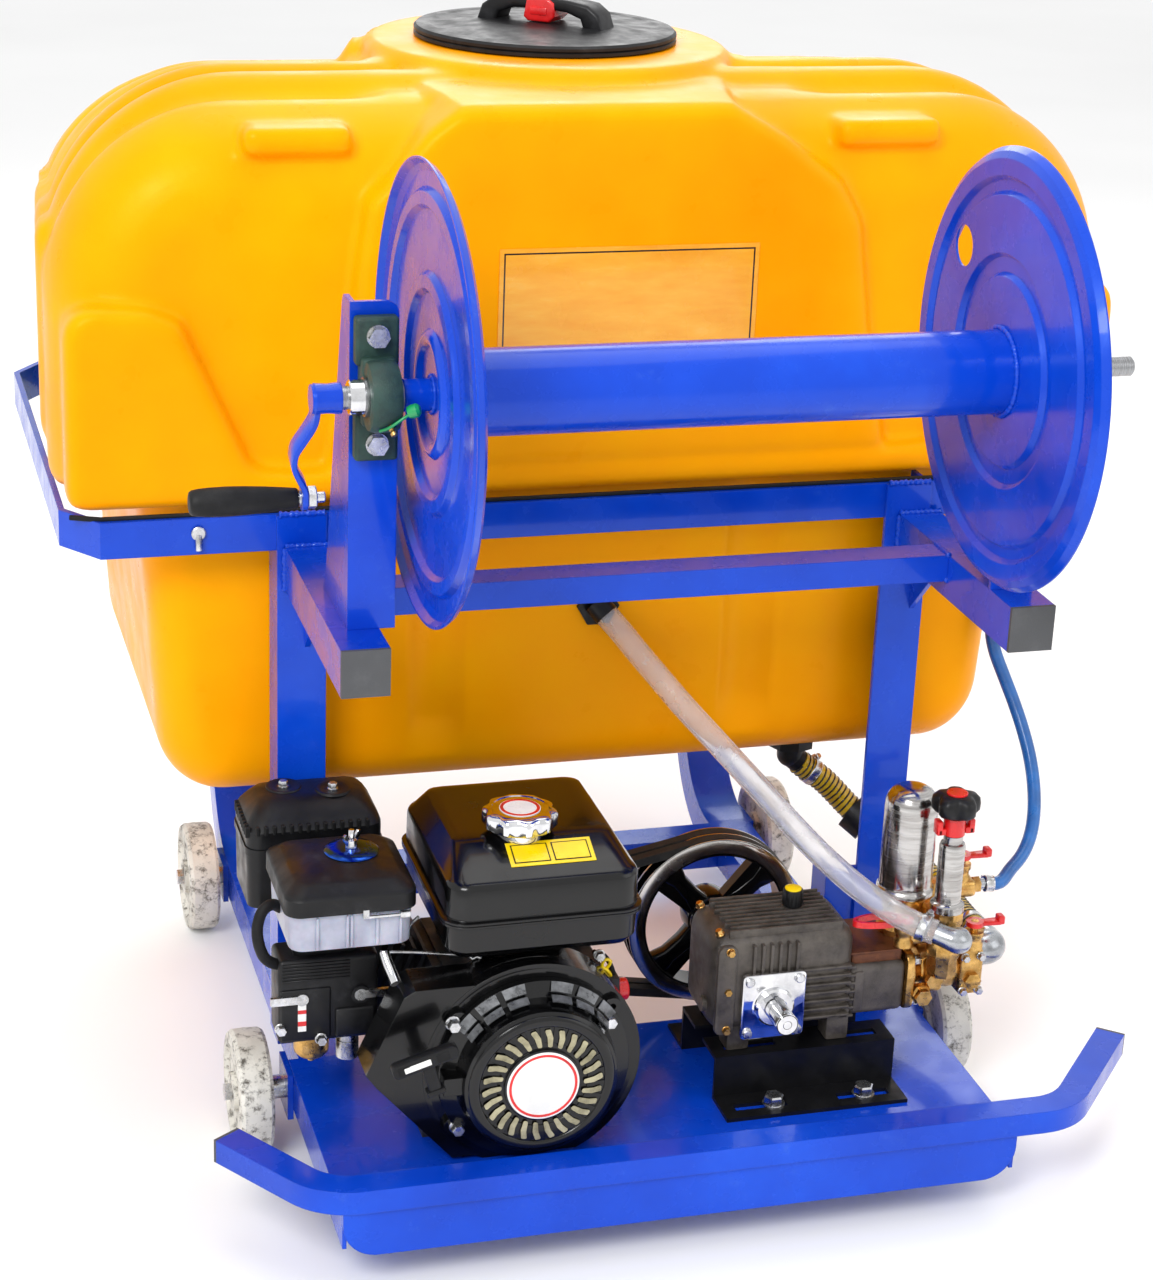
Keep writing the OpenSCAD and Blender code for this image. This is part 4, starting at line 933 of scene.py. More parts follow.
def bearings():
    """Cast pillow blocks: a slotted foot on the bracket and a round housing in front of it."""
    for tag, x in (("left", -291.5), ("right", 323.5)):
        centre = P(x, *REEL)
        foot = []
        for sign in (-1, 1):
            low, high = sorted((REEL[1] + sign * 21, REEL[1] + sign * 63.5))
            foot.append(block((x - 19, REEL[0] + 18.3, low), (x + 19, REEL[0] + 33.2, high), 3.5, 3))
        foot.append(block((x - 15, REEL[0] + 8, REEL[1] - 30), (x + 15, REEL[0] + 33.2, REEL[1] + 30), 4, 3))
        ring = lathe([(17.2, -13), (24, -14), (29, -12.5), (30.6, -8), (31, 0), (30.6, 8), (29, 12.5),
                      (24, 14), (17.2, 13), (17.2, -13)], centre, RIGHT, 64)
        housing = merged("bearing_housing_" + tag, foot + [ring], "bearing", "root", 40)
        seals = [collar(15.2, 17.1, low, low + 1.1, centre, RIGHT) for low in (11.5, -12.6)]
        merged("bearing_seals_" + tag, seals, "rubber", "reel")
        if tag == "left":
            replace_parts(housing, "bearing_housings")
        nipple = P(x + 4, REEL[0] - 24, REEL[1] - 21)
        merged("grease_nipple_" + tag, [
            lathe([(0, -3), (3.2, -3), (3.2, 2), (2.2, 2.6), (2.2, 4), (3.2, 5.5), (2.6, 8), (0, 8.6)],
                  nipple,
                  (0.2, -1, -0.9), 16)], "brass")
        merged("nipple_cap_" + tag, [
            lathe([(0, -5), (5, -5), (6, -2), (6, 3), (4, 5.5), (0, 6)], P(x + 22, REEL[0] - 27, REEL[1] - 6),
                  (1, -0.4, 0.4), 20)], "green")
        wire("nipple_cap_strap_" + tag,
             [(x - 6, REEL[0] - 22, REEL[1] - 24), (x + 1, REEL[0] - 27, REEL[1] - 20),
              (x + 12, REEL[0] - 29, REEL[1] - 12), (x + 19, REEL[0] - 28, REEL[1] - 8)], 1.4, "green")


bearings()


def reel_details():
    """Painted stubs and pressed rings at the discs, the weld beads, the left collar and its set screw."""
    left, right = P(-248, *REEL), P(277, *REEL)
    for tag, centre, out in (("left", left, -1), ("right", right, 1)):
        axis = (out, 0, 0)
        merged("disc_ring_" + tag, [
            lathe([(40, 0), (43, 3.5), (46, 5), (50, 5), (53, 3.5), (56, 0)], centre, axis, 72)], "enamel",
            "reel")
        merged("disc_stub_" + tag, [
            lathe([(10.1, 0), (14, 0), (14, 25), (13.2, 26), (10.1, 26)], centre, axis, 40)], "enamel",
            "reel")
        ring = [centre + Vector((out * 0.8 * MM, 15.2 * MM * math.cos(a), 15.2 * MM * math.sin(a)))
                for a in (2 * math.pi * k / 24 for k in range(25))]
        bead("stub_weld_" + tag, ring, 2.2, "reel")
        inside = [centre + Vector((-out * 3.2 * MM, 39.4 * MM * math.cos(a), 39.4 * MM * math.sin(a)))
                  for a in (2 * math.pi * k / 36 for k in range(37))]
        bead("drum_weld_" + tag, inside, 2.6, "reel")
    merged("collar_left", [
        lathe([(10.1, -0.5), (14, -0.5), (15.2, 0.6), (15.2, 11.8), (14.2, 13), (10.1, 13)], P(-320, *REEL),
              RIGHT,
              40)], "chrome", "reel")
    merged("set_screw", [
        lathe([(0, 0), (2.6, 0), (2.6, 1), (1.4, 1.2), (0, 0.4)], P(-313, REEL[0] - 10, REEL[1] - 11.2),
              (0, -0.66, -0.75), 6)], "rubber", "reel")


reel_details()


def crank():
    """Flat bar bent twice between the shaft's hub and the grip's bolt, with a rounded grip."""
    lean = Matrix.Translation(P(0, *REEL)) @ spin(20, "X")

    def spot(x, y, z):
        return lean @ Vector((x * MM, y * MM, z * MM))

    def bar():
        middle = smooth_path([Vector((x, 0, z)) for x, z in (
            (-347.5, 2), (-347.5, -12), (-349.5, -24), (-356, -38), (-362, -50), (-363.6, -58), (-363, -68),
            (-358, -80), (-353, -90), (-351.5, -97), (-351.5, -108))], 2.5)
        rows = []
        for centre, (ahead, _, _) in zip(middle, frames_along(middle)):
            out = Vector((ahead.z, 0, -ahead.x)).normalized()
            corners = []
            for u, v in ((1, 0.75), (0.9, 1), (-0.9, 1), (-1, 0.75), (-1, -0.75), (-0.9, -1), (0.9, -1),
                         (1, -0.75)):
                corners.append(centre + out * 2.5 * v + Vector((0, 10.5 * u, 0)))
            rows.append([spot(*c) for c in corners])
        return loft(rows)

    axis = tuple((lean.to_3x3() @ Vector(RIGHT)))
    hub = lathe([(10.05, 0), (12.5, 0), (13.5, 1.5), (13.2, 4), (12.6, 12), (13.5, 22), (13.4, 24),
                 (10.05, 24)],
                spot(-351, 0, 0), axis, 40)
    cap = lathe([(0, 0), (12.5, 0), (12.5, 2.2), (11.5, 3), (0, 3)], spot(-352.5, 0, 0), axis, 40)
    eye = lathe([(5.2, 0), (11, 0), (11, 5), (5.2, 5)], spot(-354, 0, -105), axis, 32)
    arm = merged("crank_bar", [bar(), hub, cap, eye], "enamel", "reel", 40)
    bolt = [
        lathe([(0, 0), (5, 0), (5, 106), (4, 107), (0, 107)], spot(-440, 0, -105), axis, 24),
        lathe([(5, 0), (9.8, 0), (10.4, 0.8), (10.4, 7), (9.4, 8), (5, 8)], spot(-348.8, 0, -105), axis, 6),
        lathe([(5, 0), (7.2, 0), (7.2, 1.6), (5, 1.6)], spot(-356, 0, -105), axis, 24),
    ]
    merged("crank_bolt", bolt, "zinc", "reel", 30)
    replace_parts(arm, "crank_arm")
    grip = lathe([(5.1, 8), (5.1, 94), (8.2, 94), (9, 92.5), (9.2, 90), (10.2, 80), (11.4, 66), (12.5, 48),
                  (13, 32), (12.7, 18), (12, 8), (11, 2.6), (9.4, 0.6), (7, 0), (0, 0), (0, 8), (5.1, 8)],
                 spot(-451, 0, -105), axis, 48)
    handle = merged("turned_grip", [grip], "rubber", "grip", 50)
    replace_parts(handle, "crank_grip")


crank()

# ---------------------------------------------------------------- engine

def engine_top():
    """Fuel tank with its seam, neck, fluted cap and blank label."""
    body = stack([
        (-210, -48, -250, -69, 14, 299.5), (-216, -42, -256, -63, 18, 301), (-221, -37, -261, -58, 21, 308),
        (-222, -36, -262, -57, 22, 333),
    ])
    seam = stack([
        (-223, -35, -263, -56, 22, 333), (-226, -32, -266, -53, 24, 334), (-226, -32, -266, -53, 24, 336.4),
        (-224, -34, -264, -55, 23, 336.8), (-226, -32, -266, -53, 24, 337.2),
        (-226, -32, -266, -53, 24, 339.4), (-223, -35, -263, -56, 22, 340.4),
    ])
    top = stack([
        (-222, -36, -262, -57, 22, 340), (-221.6, -36.4, -261.6, -57.4, 22, 370),
        (-220.6, -37.4, -260.4, -58, 21.6, 373), (-218.6, -39.4, -258, -59, 21, 375.4),
        (-216, -42, -254, -61, 20, 377.4), (-206, -52, -211, -78, 14, 395), (-202, -56, -206, -81, 13, 396.6),
        (-195, -63, -200, -86, 11, 397.4), (-188, -70, -192, -90, 10, 397.6),
    ], 8)
    neck = lathe([(0, 384), (23, 384), (23, 400.6), (22, 401.6), (20, 402), (20, 405), (0, 405)],
                 P(-140, -195, 0), UP, 48)
    tank_piece = merged("fuel_tank_shell", [body, seam, top], "gloss", "root", 30)
    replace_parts(tank_piece, "fuel_tank")
    merged("filler_neck", [neck], "chrome")
    profile = ((28, 5.6, 0), (34, 6.2, 1.5), (36, 8, 3), (36, 18, 3.4), (34.6, 20.9, 3), (31.5, 22.4, 1.6),
               (27, 22.9, 0), (26, 22, 0), (0.5, 22, 0))
    cap = fluted(P(-140, -195, 398.3), profile, 10, lambda a: 0.5 + 0.5 * math.cos(a), 120)
    cap = merged("fuel_cap_fluted", [cap], "chrome", "fuel_filler", 40)
    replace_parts(cap, "fuel_cap")
    merged("cap_disc", [rod(19.5, 0.5, P(-140, -195, 420.4), UP, 48)],
           "white", "fuel_filler")
    merged("cap_disc_ring", [
        collar(15.8, 18.8, 0, 0.8, P(-140, -195, 420.4), UP)],
        "red", "fuel_filler")

    slope = Matrix.Rotation(math.atan2(17.6, 43), 4, "X")
    label = block((-41, -15, 0), (41, 15, 0.8), 0.3, 1)
    bars = [block((-37, -11.4, 0.5), (-2, 11.4, 1.1)), block((2, -11.4, 0.5), (37, 11.4, 1.1))]
    holes = [block((-35.8, -10.2, 0.4), (-3.2, 10.2, 1.3)), block((3.2, -10.2, 0.4), (35.8, 10.2, 1.3))]
    for part in [label] + bars + holes:
        moved(part, P(-118, -228, 388.1), slope)
    merged("yellow_label", [label] + holes, "yellow")
    merged("label_frames", bars, "black")


engine_top()


def air_cleaner():
    """Domed cover, milky base with its ribs, dished blue washer and wing nut."""
    cover = stack([
        (-366, -246, -233, -111, 14, 344.4), (-368, -244, -235, -109, 16, 345.5),
        (-368, -244, -235, -109, 17, 361), (-367, -245, -233.6, -110, 17, 363),
        (-365, -247, -231, -112, 17, 364.6), (-357, -255, -222, -120, 15, 370.6),
        (-355, -257, -219.6, -122, 14, 371.6), (-352, -260, -216, -125, 13, 372.4),
        (-334, -278, -194, -144, 12, 376),
    ], 8)
    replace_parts(merged("air_cleaner_lid", [cover], "black", "root", 32), "air_cleaner_cover")
    base = stack([
        (-361, -251, -228, -116, 12, 307.6), (-363, -249, -230, -114, 14, 309),
        (-364, -248, -231, -113, 14, 340), (-364.6, -247.4, -231.6, -112.4, 14, 345.2),
    ], 6)
    ribs = [block((x, -233, 310), (x + 3, -229, 343), 1.2, 2) for x in (-340, -312, -308, -284, -262)]
    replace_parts(merged("air_cleaner_box", [base] + ribs, "filter", "root", 32), "air_cleaner_base")
    merged("dished_washer", [
        lathe([(0, 0), (25, 0), (26, 0.8), (24, 2.6), (15, 4.6), (6, 4), (4, 6), (0, 6)],
              P(-294, -164, 375.9),
              UP, 48)], "blue_zinc")
    wings = []
    for sign in (-1, 1):
        fin = prism([(0, 0), (4, 0), (11, 9), (11, 14), (8, 15), (3, 9), (0, 8)], -1.4, 1.4, "y", 0.7, 2)
        moved(fin, P(-294, -164, 380), spin(35 + (180 if sign < 0 else 0), "Z"))
        wings.append(fin)
    wings.append(lathe([(0, 0), (6, 0), (5, 7), (3, 8), (3, 16), (2.4, 17), (0, 17)], P(-294, -164, 380.5),
                       UP,
                       20))
    merged("wing_nut", wings, "chrome")
    clip = [block((-297, -236.4, 340.5), (-291, -232, 349), 0.8, 2), block((-297, -236.2, 339.5),
            (-258, -233.6, 342.5), 0.9, 2), block((-262, -237, 337.6), (-252, -232, 344), 1.2, 2)]
    merged("cover_clip", clip, "zinc")


air_cleaner()


def muffler():
    """Pressed cover with two dished bolts, louvres along its edges and the duct to the cylinder."""
    shell = stack([
        (-374, -254, -86, -10, 8, 284), (-379, -249, -91, -5, 12, 287), (-380, -248, -92, -4, 14, 360),
        (-380, -248, -92, -4, 15, 366), (-377, -250, -88, -6, 16, 372), (-370, -255, -78, -10, 16, 380),
        (-364, -260, -68, -16, 14, 386), (-358, -266, -62, -22, 12, 388.4), (-350, -274, -54, -30, 8, 389),
    ], 8)
    band = stack([(-381.2, -246.8, -93.2, -2.8, 15, 342), (-381.2, -246.8, -93.2, -2.8, 15, 349)], 8)
    duct = block((-330, -112, 296), (-290, -80, 342), 3, 2)
    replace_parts(merged("muffler_cover", [shell, band, duct], "matt", "root", 32), "muffler")
    bolts, dishes = [], []
    for x, y in ((-336, -36), (-290, -50)):
        dishes.append(lathe([(6, 0.6), (12, 1.6), (15, 2.4), (17, 2.2), (18, 0)], P(x, y, 388), UP, 32))
        bolts += hexagon(P(x, y, 388.8), UP, 8, 5)
    merged("muffler_dishes", dishes, "matt")
    merged("muffler_bolts", bolts, "zinc")
    slots = [block((-372 + 8.2 * k, -93.4, 366 - 2), (-368.6 + 8.2 * k, -88, 373), 0.7, 1) for k in range(14)]
    slots += [block((-381.4, -86 + 8 * k, 360), (-376, -82.6 + 8 * k, 371), 0.7, 1) for k in range(9)]
    merged("muffler_louvres", slots, "rubber")


muffler()


def carburettor():
    """Choke box with its bosses, fuel bowl, pull-off, bolts, blank strip, breather hose, rod and springs."""
    box_parts = [
        block((-368, -192, 192), (-272, -148, 280), 5, 3),
        block((-352, -182, 276), (-290, -132, 307.6), 4, 3),
        block((-366, -194.4, 196), (-318, -190, 250), 3, 3),
        block((-314, -195, 196), (-276, -190, 226), 3, 3),
    ]
    box_parts += [block((-364, -193.4, 258 + 3.4 * k), (-300, -190, 259.6 + 3.4 * k), 0.5,
                        1) for k in range(6)]
    box_parts.append(rod(9, 4, P(-290, -192, 240), FRONT))
    box_piece = merged("choke_box", box_parts, "black", "root", 40)
    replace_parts(box_piece, "carburettor")
    bowl = lathe([(0, -7), (3.5, -7), (3.5, -3), (5, -2), (13, 0), (16.5, 4), (17, 8), (17, 25), (18, 25.5),
                  (18, 29), (0, 29)], P(-332, -166, 166), UP, 40)
    merged("fuel_bowl", [bowl], "brass")
    merged("pull_off", [lathe([(0, 0), (9, 0), (11, 1.5), (11, 20), (10.4, 20.5), (11, 21), (11, 31),
                               (0, 31)],
                              P(-298, -172, 162), UP, 40)], "zinc")
    heads = hexagons([(-328, -195, 197), (-366, -192.4, 210)], FRONT, 9, 6)
    merged("choke_box_bolts", heads, "zinc")
    merged("label_strip", [block((-350, -195.2, 206), (-342, -194.2, 238), 0.3, 1)], "white")
    merged("label_strip_red", [block((-350, -195.6, 212), (-342, -194.6, 217), 0.3, 1),
                               block((-350, -195.6, 225), (-342, -194.6, 229), 0.3, 1)], "red")
    wire("breather_hose", [(-362, -170, 326), (-372, -178, 334), (-382, -184, 330), (-387, -188, 316),
                           (-386, -190, 300), (-380, -188, 284), (-370, -182, 274), (-362, -176, 270)], 5.5,
                           "rubber")
    wire("chrome_tube", [(-272, -213, 292), (-270, -220, 284), (-267, -228, 276), (-265, -236, 270)], 5.5,
         "chrome")
    wire("throttle_rod", [(-276, -214, 293), (-240, -215, 289), (-200, -216, 283), (-190, -217, 281)], 1.3,
         "zinc")
    wire("throttle_spring", [(-192, -217, 283), (-188, -219, 279), (-184, -220, 282), (-180, -221, 280)], 2.0,
         "zinc")
    wire("choke_spring", [(-252, -196, 316), (-246, -200, 308), (-243, -204, 316), (-238, -206, 322)], 1.6,
         "zinc")


carburettor()

ENGINE = (-138, 184)


def cooling_front():
    """Slot windows, badge, bolts and guide of the recoil starter, and the windows of the blower housing."""
    centre = P(ENGINE[0], -262.3, ENGINE[1])
    merged("flywheel_screen", [collar(41, 60, 27, 28, centre, FRONT, 72)], "screen")
    merged("starter_badge", [lathe([(0, 39), (35, 39), (35, 40.4), (34.2, 40.8), (0, 40.8)], centre, FRONT,
                                   64)],
           "white")
    merged("badge_ring", [collar(30.6, 33, 40, 41.1, centre, FRONT, 64)], "red")
    rim = lathe([(86, -1), (92, -2), (97, -1), (103, 0), (106.4, 0), (106.4, -16), (104, -16), (104, -2),
                 (98, -4), (86, -4), (86, -1)], centre, FRONT, 96)
    windows = []
    for start, end in ((34, 46), (50, 64), (68, 82), (98, 112), (116, 130), (134, 146)):
        for (low, low_h), (high, high_h) in (((78.6, 24), (81.6, 15.5)), ((83.4, 12.6), (92, 8.6))):
            rows = [[centre + Vector((r * math.cos(a) * MM, -h * MM, r * math.sin(a) * MM))
                     for r, h in ((low, low_h), (high, high_h), (high + 1.4, high_h + 0.8),
                                  (low + 1.4, low_h + 0.8))]
                    for a in (math.radians(start + (end - start) * k / 8) for k in range(9))]
            windows.append(loft(rows))
    merged("blower_rim", [rim], "gloss")
    merged("blower_windows", windows, "window")
    vanes = []
    for k in range(26):
        blade = prism(round_outline([(39.6, -3.2), (50, -2.4), (58.4, 1.4), (57.4, 7.2), (50, 3.4),
                                     (40, 1.2)],
                                    [1.6, 0, 1.6, 1.6, 0, 1.6], 3), -1.2, 0, "y", 0.3, 1)
        moved(blade, centre - Vector((0, 38.2 * MM, 0)), spin(360 * k / 26, "Y"))
        vanes.append(blade)
    merged("starter_vanes", vanes, "screen")
    merged("starter_face", [
        lathe([(0, 36.6), (60, 36.6), (60.6, 38), (62, 38.8), (66, 39), (70, 38), (71, 36.6), (71, 35),
               (0, 35)],
              centre, FRONT, 96),
        lathe([(0, 36), (37, 36), (37, 39.2), (36, 39.8), (0, 39.8)], centre, FRONT, 64),
    ], "gloss", "root", 50)
    merged("starter_bolts",
           hexagons([(-218, -268.4, 241), (-66, -268.4, 228), (-212, -268.4, 130)], FRONT, 11, 9), "zinc")
    merged("engine_base_bolts",
           hexagons([(x, y, 98) for x in (-222, -60) for y in (-197, -81)], UP, 14, 9), "zinc")


cooling_front()


def starter_grip():
    """T-handle with windows, on its cord's guide."""
    bar = [prism(round_outline([(-33, -6), (31, -6), (31, 8), (-33, 8)], [5] * 4, 5), -6, 6, "y", 2, 2),
           block((-6, -5, -33), (6, 5, -5), 2, 2), block((-9, -6, -36), (9, 6, -30), 1.5, 2)]
    insert = [block((-22, -7, -2), (4, -5.4, 4), 0.6, 1)]
    pits = [block((x, -6.6, -3.6), (x + 12, -5.8, 5.4), 0.3, 1) for x in (-28, 10)]
    for part in bar + insert + pits:
        moved(part, P(-250, -300, 222), spin(-17, "Y"))
    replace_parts(merged("starter_grip", bar, "black", "pull_handle", 40), "starter_handle")
    merged("grip_insert", insert, "white", "pull_handle")
    merged("grip_pits", pits, "rubber", "pull_handle")


starter_grip()


def switch_and_wires():
    """Stop switch with its collar, and the wire loop above it."""
    centre = P(-39.7, -202, 222)
    knob = merged("stop_button", [
        lathe([(0, -10.3), (3.9, -10.3), (3.9, 0), (9.6, 0), (11, 1.2), (11, 9.6), (9.8, 11), (0, 11)],
              centre,
              RIGHT, 40)], "red", "stop_switch")
    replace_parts(knob, "engine_switch")
    wire("yellow_wire", [(-50, -204, 234), (-47, -207, 240), (-52, -210, 248), (-58, -212, 254),
                         (-55, -212, 261), (-49, -211, 258), (-52, -209, 250), (-58, -206, 246),
                         (-64, -200, 244)], 1.7, "yellow")
    wire("black_lead", [(-62, -196, 262), (-54, -206, 262), (-47, -207, 250), (-43, -203, 238)], 2.4,
         "rubber")
    merged("wire_bolt", hexagon(P(-62, -214, 268), FRONT, 9, 5), "zinc")


switch_and_wires()

# ---------------------------------------------------------------- pump

def pump_case():
    """Ribbed casting on four feet, with its chrome bearing plate, screws and sight glass."""
    parts = [block((61, -200, 155), (211, -108, 263), 20, 5)]
    parts += [block((78 + 3 * (k % 2), -192 + 8 * k, 256), (196, -188.6 + 8 * k, 267.4), 1.3,
                    2) for k in range(10)]
    parts += [block((100 + 9 * k, -203.6, 222), (103.6 + 9 * k, -190, 254), 1.3, 2) for k in range(6)]
    parts += [block((154, -203.4, 166 + 9 * k), (205, -190, 169.4 + 9 * k), 1.3, 2) for k in range(7)]
    parts += [block((196, -196, 160 + 9 * k), (213, -112, 163.4 + 9 * k), 1.3, 2) for k in range(7)]
    for x in (80, 185):
        for y in (-196, -134):
            parts.append(block((x, y, 136), (x + 24, y + 26, 172), 3, 2))
    parts += [
        prism(round_outline([(64, 158), (84, 158), (84, 256), (64, 256)], [8] * 4, 5), -203, -196, "y", 2, 2),
        rod(11, 9, P(158, -148, 258), UP, 32),
        rod(8, 5, P(62, -176, 182), (-1, 0, 0)),
    ]
    case = merged("crankcase_casting", parts, "pump", "root", 40)
    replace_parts(case, "pump_crankcase")
    plate = prism(round_outline([(89, 154), (155, 154), (155, 225), (89, 225)], [5] * 4, 4), -208.6, -203,
                  "y",
                  1.2, 2)
    boss = lathe([(12.1, 0), (12.1, 7.2), (18, 7.2), (20, 5.4), (20.4, 1), (25, 0), (12.1, 0)],
                 P(122, -208, 190),
                 FRONT, 56)
    merged("bearing_plate", [plate, boss], "chrome", "root", 35)
    heads = []
    for x, z in ((96, 161), (148, 161), (96, 218), (148, 218)):
        heads.append(lathe([(0, 0), (5, 0), (5, 2), (4, 3.2), (0, 3.4)], P(x, -208.4, z), FRONT, 20))
    merged("plate_screws", heads, "zinc")
    brass_heads = []
    for x, y, z, axis in ((76, -200, 206, FRONT), (76, -202, 164, FRONT), (76, -202, 250, FRONT),
                          (70, -186, 262, (-0.4, 0, 1)), (70, -124, 262, (-0.4, 0, 1))):
        brass_heads += hexagon(P(x, y, z), axis, 7, 4)
    merged("case_screws", brass_heads, "brass")
    merged("rail_bolts",
           hexagons([(x, y, 92) for x in (121, 216) for y in (-230, -74)], UP, 17.4, 8.6), "zinc")
    shaft = [
        lathe([(11.06, 0), (12.4, 0), (12.4, 26), (11.06, 26)], P(122, -213.2, 190), BACK, 40),
        lathe([(0, 37.4), (4, 37.4), (4.6, 36.6), (3, 34), (0, 33)], P(122, -213, 190), FRONT, 32),
        lathe([(4.6, 37.2), (10, 37.2), (11.4, 36), (11.4, 31), (11.1, 30.6), (11.1, 3), (11.4, 0)],
              P(122, -213, 190), FRONT, 48),
    ]
    merged("pump_shaft_sleeve", shaft, "chrome", "pump_shaft", 35)
    merged("shaft_key", [block((119.5, -244, 200), (124.5, -216, 203.4), 0.8, 2)], "shaft", "pump_shaft")
    cap = [lathe([(0, 0), (9, 0), (10, 1), (10, 17), (9.4, 18), (0, 18)], P(158, -148, 267.3), UP, 32)]
    cap += [block((158 + 9.4 * math.cos(a) - 1, -148 + 9.4 * math.sin(a) - 1, 269),
                  (158 + 9.4 * math.cos(a) + 1, -148 + 9.4 * math.sin(a) + 1, 283), 0.5, 1)
            for a in (2 * math.pi * k / 16 for k in range(16))]
    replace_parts(merged("oil_plug", cap, "black", "oil_filler", 40), "oil_cap")
    merged("oil_plug_disc", [lathe([(0, 0), (8.4, 0), (8.4, 1.6), (7.6, 2), (0, 2)], P(158, -148, 284.8), UP,
                                   32)], "yellow", "oil_filler")


pump_case()


def pump_head():
    """Plunger block, sheet cover, brass manifold, stainless chamber, regulator and valve handles."""
    block_piece = merged("plunger_block", [
        block((206, -194, 160), (268, -116, 216), 8, 4), block((212, -196, 166), (222, -114, 210), 2, 2)],
        "grey_cast", "root", 40)
    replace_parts(block_piece, "pump_cylinder")
    merged("plunger_cover", [block((210, -188, 214), (264, -118, 228), 2.5, 3),
                             block((206, -190, 226), (262, -116, 229), 1, 2)], "copper")
    brass_parts = [
        prism(round_outline([(-196, 160), (-114, 160), (-114, 222), (-196, 222)], [10] * 4, 5), 268, 276.4,
              "x", 1.5, 2),
        lathe([(0, 0), (27, 0), (27, 5), (24, 8), (21, 14), (24, 22), (24.6, 30), (22, 38), (24.6, 46),
               (24, 54), (0, 56)], P(276, -160, 192), RIGHT, 48),
        block((292, -192, 176), (310, -128, 208), 5, 3),
        block((328, -190, 168), (354, -132, 218), 5, 3),
        lathe([(0, 0), (26, 0), (26, 6), (21, 10), (21, 38), (27, 41), (27, 43), (0, 43)], P(279, -146, 229),
              UP, 48),
        block((275, -158, 200), (297, -134, 240), 4, 3),
        lathe([(0, 0), (14, 0), (16, 6), (16, 20), (18, 24), (18, 40), (15, 44), (15, 56), (18, 60), (18, 72),
               (0, 72)], P(304, -196, 200), UP, 8),
        block((292, -196, 238), (316, -150, 262), 4, 3),
        block((264, -194, 233), (294, -180, 248), 4, 3),
        block((279, -139, 251), (363, -115, 269), 5, 3),
    ]
    for x, y, z in ((264, -188, 258), (344, -180, 242), (348, -127, 292)):
        brass_parts.append(lathe([(0, 0), (10, 0), (10, 6), (8.4, 8), (8.4, 13), (10, 15), (10, 20), (4, 20),
                                  (4, 31), (0, 31)], P(x, y, z - 26), UP, 24))
    brass_parts += [
        rod(13, 9, P(354, -160, 204), RIGHT, 8),
        rod(9, 7, P(362, -127, 260), RIGHT, 6),
        lathe([(0, 0), (11, 0), (11, 8), (9, 10), (9, 16), (0, 16)], P(286, -186, 176), FRONT, 6),
        lathe([(0, 0), (9, 0), (9, 10), (6, 12), (0, 12)], P(341, -186, 186), FRONT, 6),
        rod(9, 6, P(298, -192, 192), FRONT, 6),
    ]
    manifold = merged("brass_manifold", brass_parts, "brass", "root", 40)
    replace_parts(manifold, "pump_manifold")
    studs = hexagons([(276.4, y, z) for z in (168, 214) for y in (-188, -122)], RIGHT, 10, 6)
    studs += hexagons([(x, -190, z) for z in (174, 212) for x in (332, 349)], FRONT, 7, 5)
    merged("manifold_studs", studs, "zinc")
    elbow = smooth_path([P(*p) for p in ((358, -160, 204), (366, -160, 204), (372, -158, 204),
                                         (375, -152, 204), (375, -144, 204), (374.6, -132, 204),
                                         (374.3, -119.4, 204))], 0.002)
    swell = [16 + 1.6 * math.sin(min(i / 10, 1) * math.pi) for i in range(len(elbow))]
    tail_path = smooth_path([P(*p) for p in ((278.4, -232.3, 265.9), (286, -238.4, 263.7),
                                             (292, -242.6, 262.2), (297, -243, 260.6), (300.6, -238, 258),
                                             (302.6, -228, 254), (304, -212, 250))], 0.002)
    body_r = [10.5 + 3.2 * math.exp(-((i - 14) / 7) ** 2) for i in range(len(tail_path))]
    merged("suction_elbow", [
        sweep(elbow, lambda i: swell[i] * MM * (0.86 if i > 14 else 1), 28),
        rod(18.4, 6, P(355, -160, 204), RIGHT, 8),
        sweep(tail_path, lambda i: body_r[i] * MM, 24),
        sweep([P(364, -127, 260), P(370, -127, 260), P(375.6, -127, 260)], 6 * MM, 20),
    ], "fitting", "root", 50)
    chamber = merged("air_chamber_shell", [
        lathe([(0, 0), (29, 0), (29, 5), (27.6, 6), (26.6, 9), (27, 12), (27, 92), (26.4, 99), (24.4, 105),
               (20.6, 110), (15, 113.4), (8, 115.1), (0, 115.5)], P(279, -146, 272), UP, 72)], "stainless",
               "root", 60)
    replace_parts(chamber, "air_chamber")
    spots = [(279 + 25 * math.cos(a), -146 + 25 * math.sin(a), 271.5) for a in (0.6, 2.2, 3.7, 5.3)]
    merged("chamber_nuts", hexagons(spots, UP, 7, 5, False), "zinc")
    regulator = merged("regulator_tube", [
        lathe([(0, 0), (17, 0), (17, 7), (15, 9), (13, 10), (13, 70), (12, 73), (9.6, 74), (9.6, 80),
               (10, 82), (4, 82), (4, 112), (0, 112)], P(304, -196, 272), UP, 56)], "stainless", "root", 40)
    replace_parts(regulator, "regulator")
    lever = merged("relief_lever", [
        collar(4.1, 11, 0, 18, P(304, -196, 355), UP, 32),
        block((285, -202, 356), (294, -190, 363), 1.5, 2), block((314, -202, 356), (323, -190, 363), 1.5, 2),
        block((284, -202, 356), (290, -190, 371), 1.5, 2), block((318, -202, 356), (324, -190, 371), 1.5, 2)],
        "red",
        "pressure_lever", 40)
    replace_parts(lever, "regulator_lever")


pump_head()


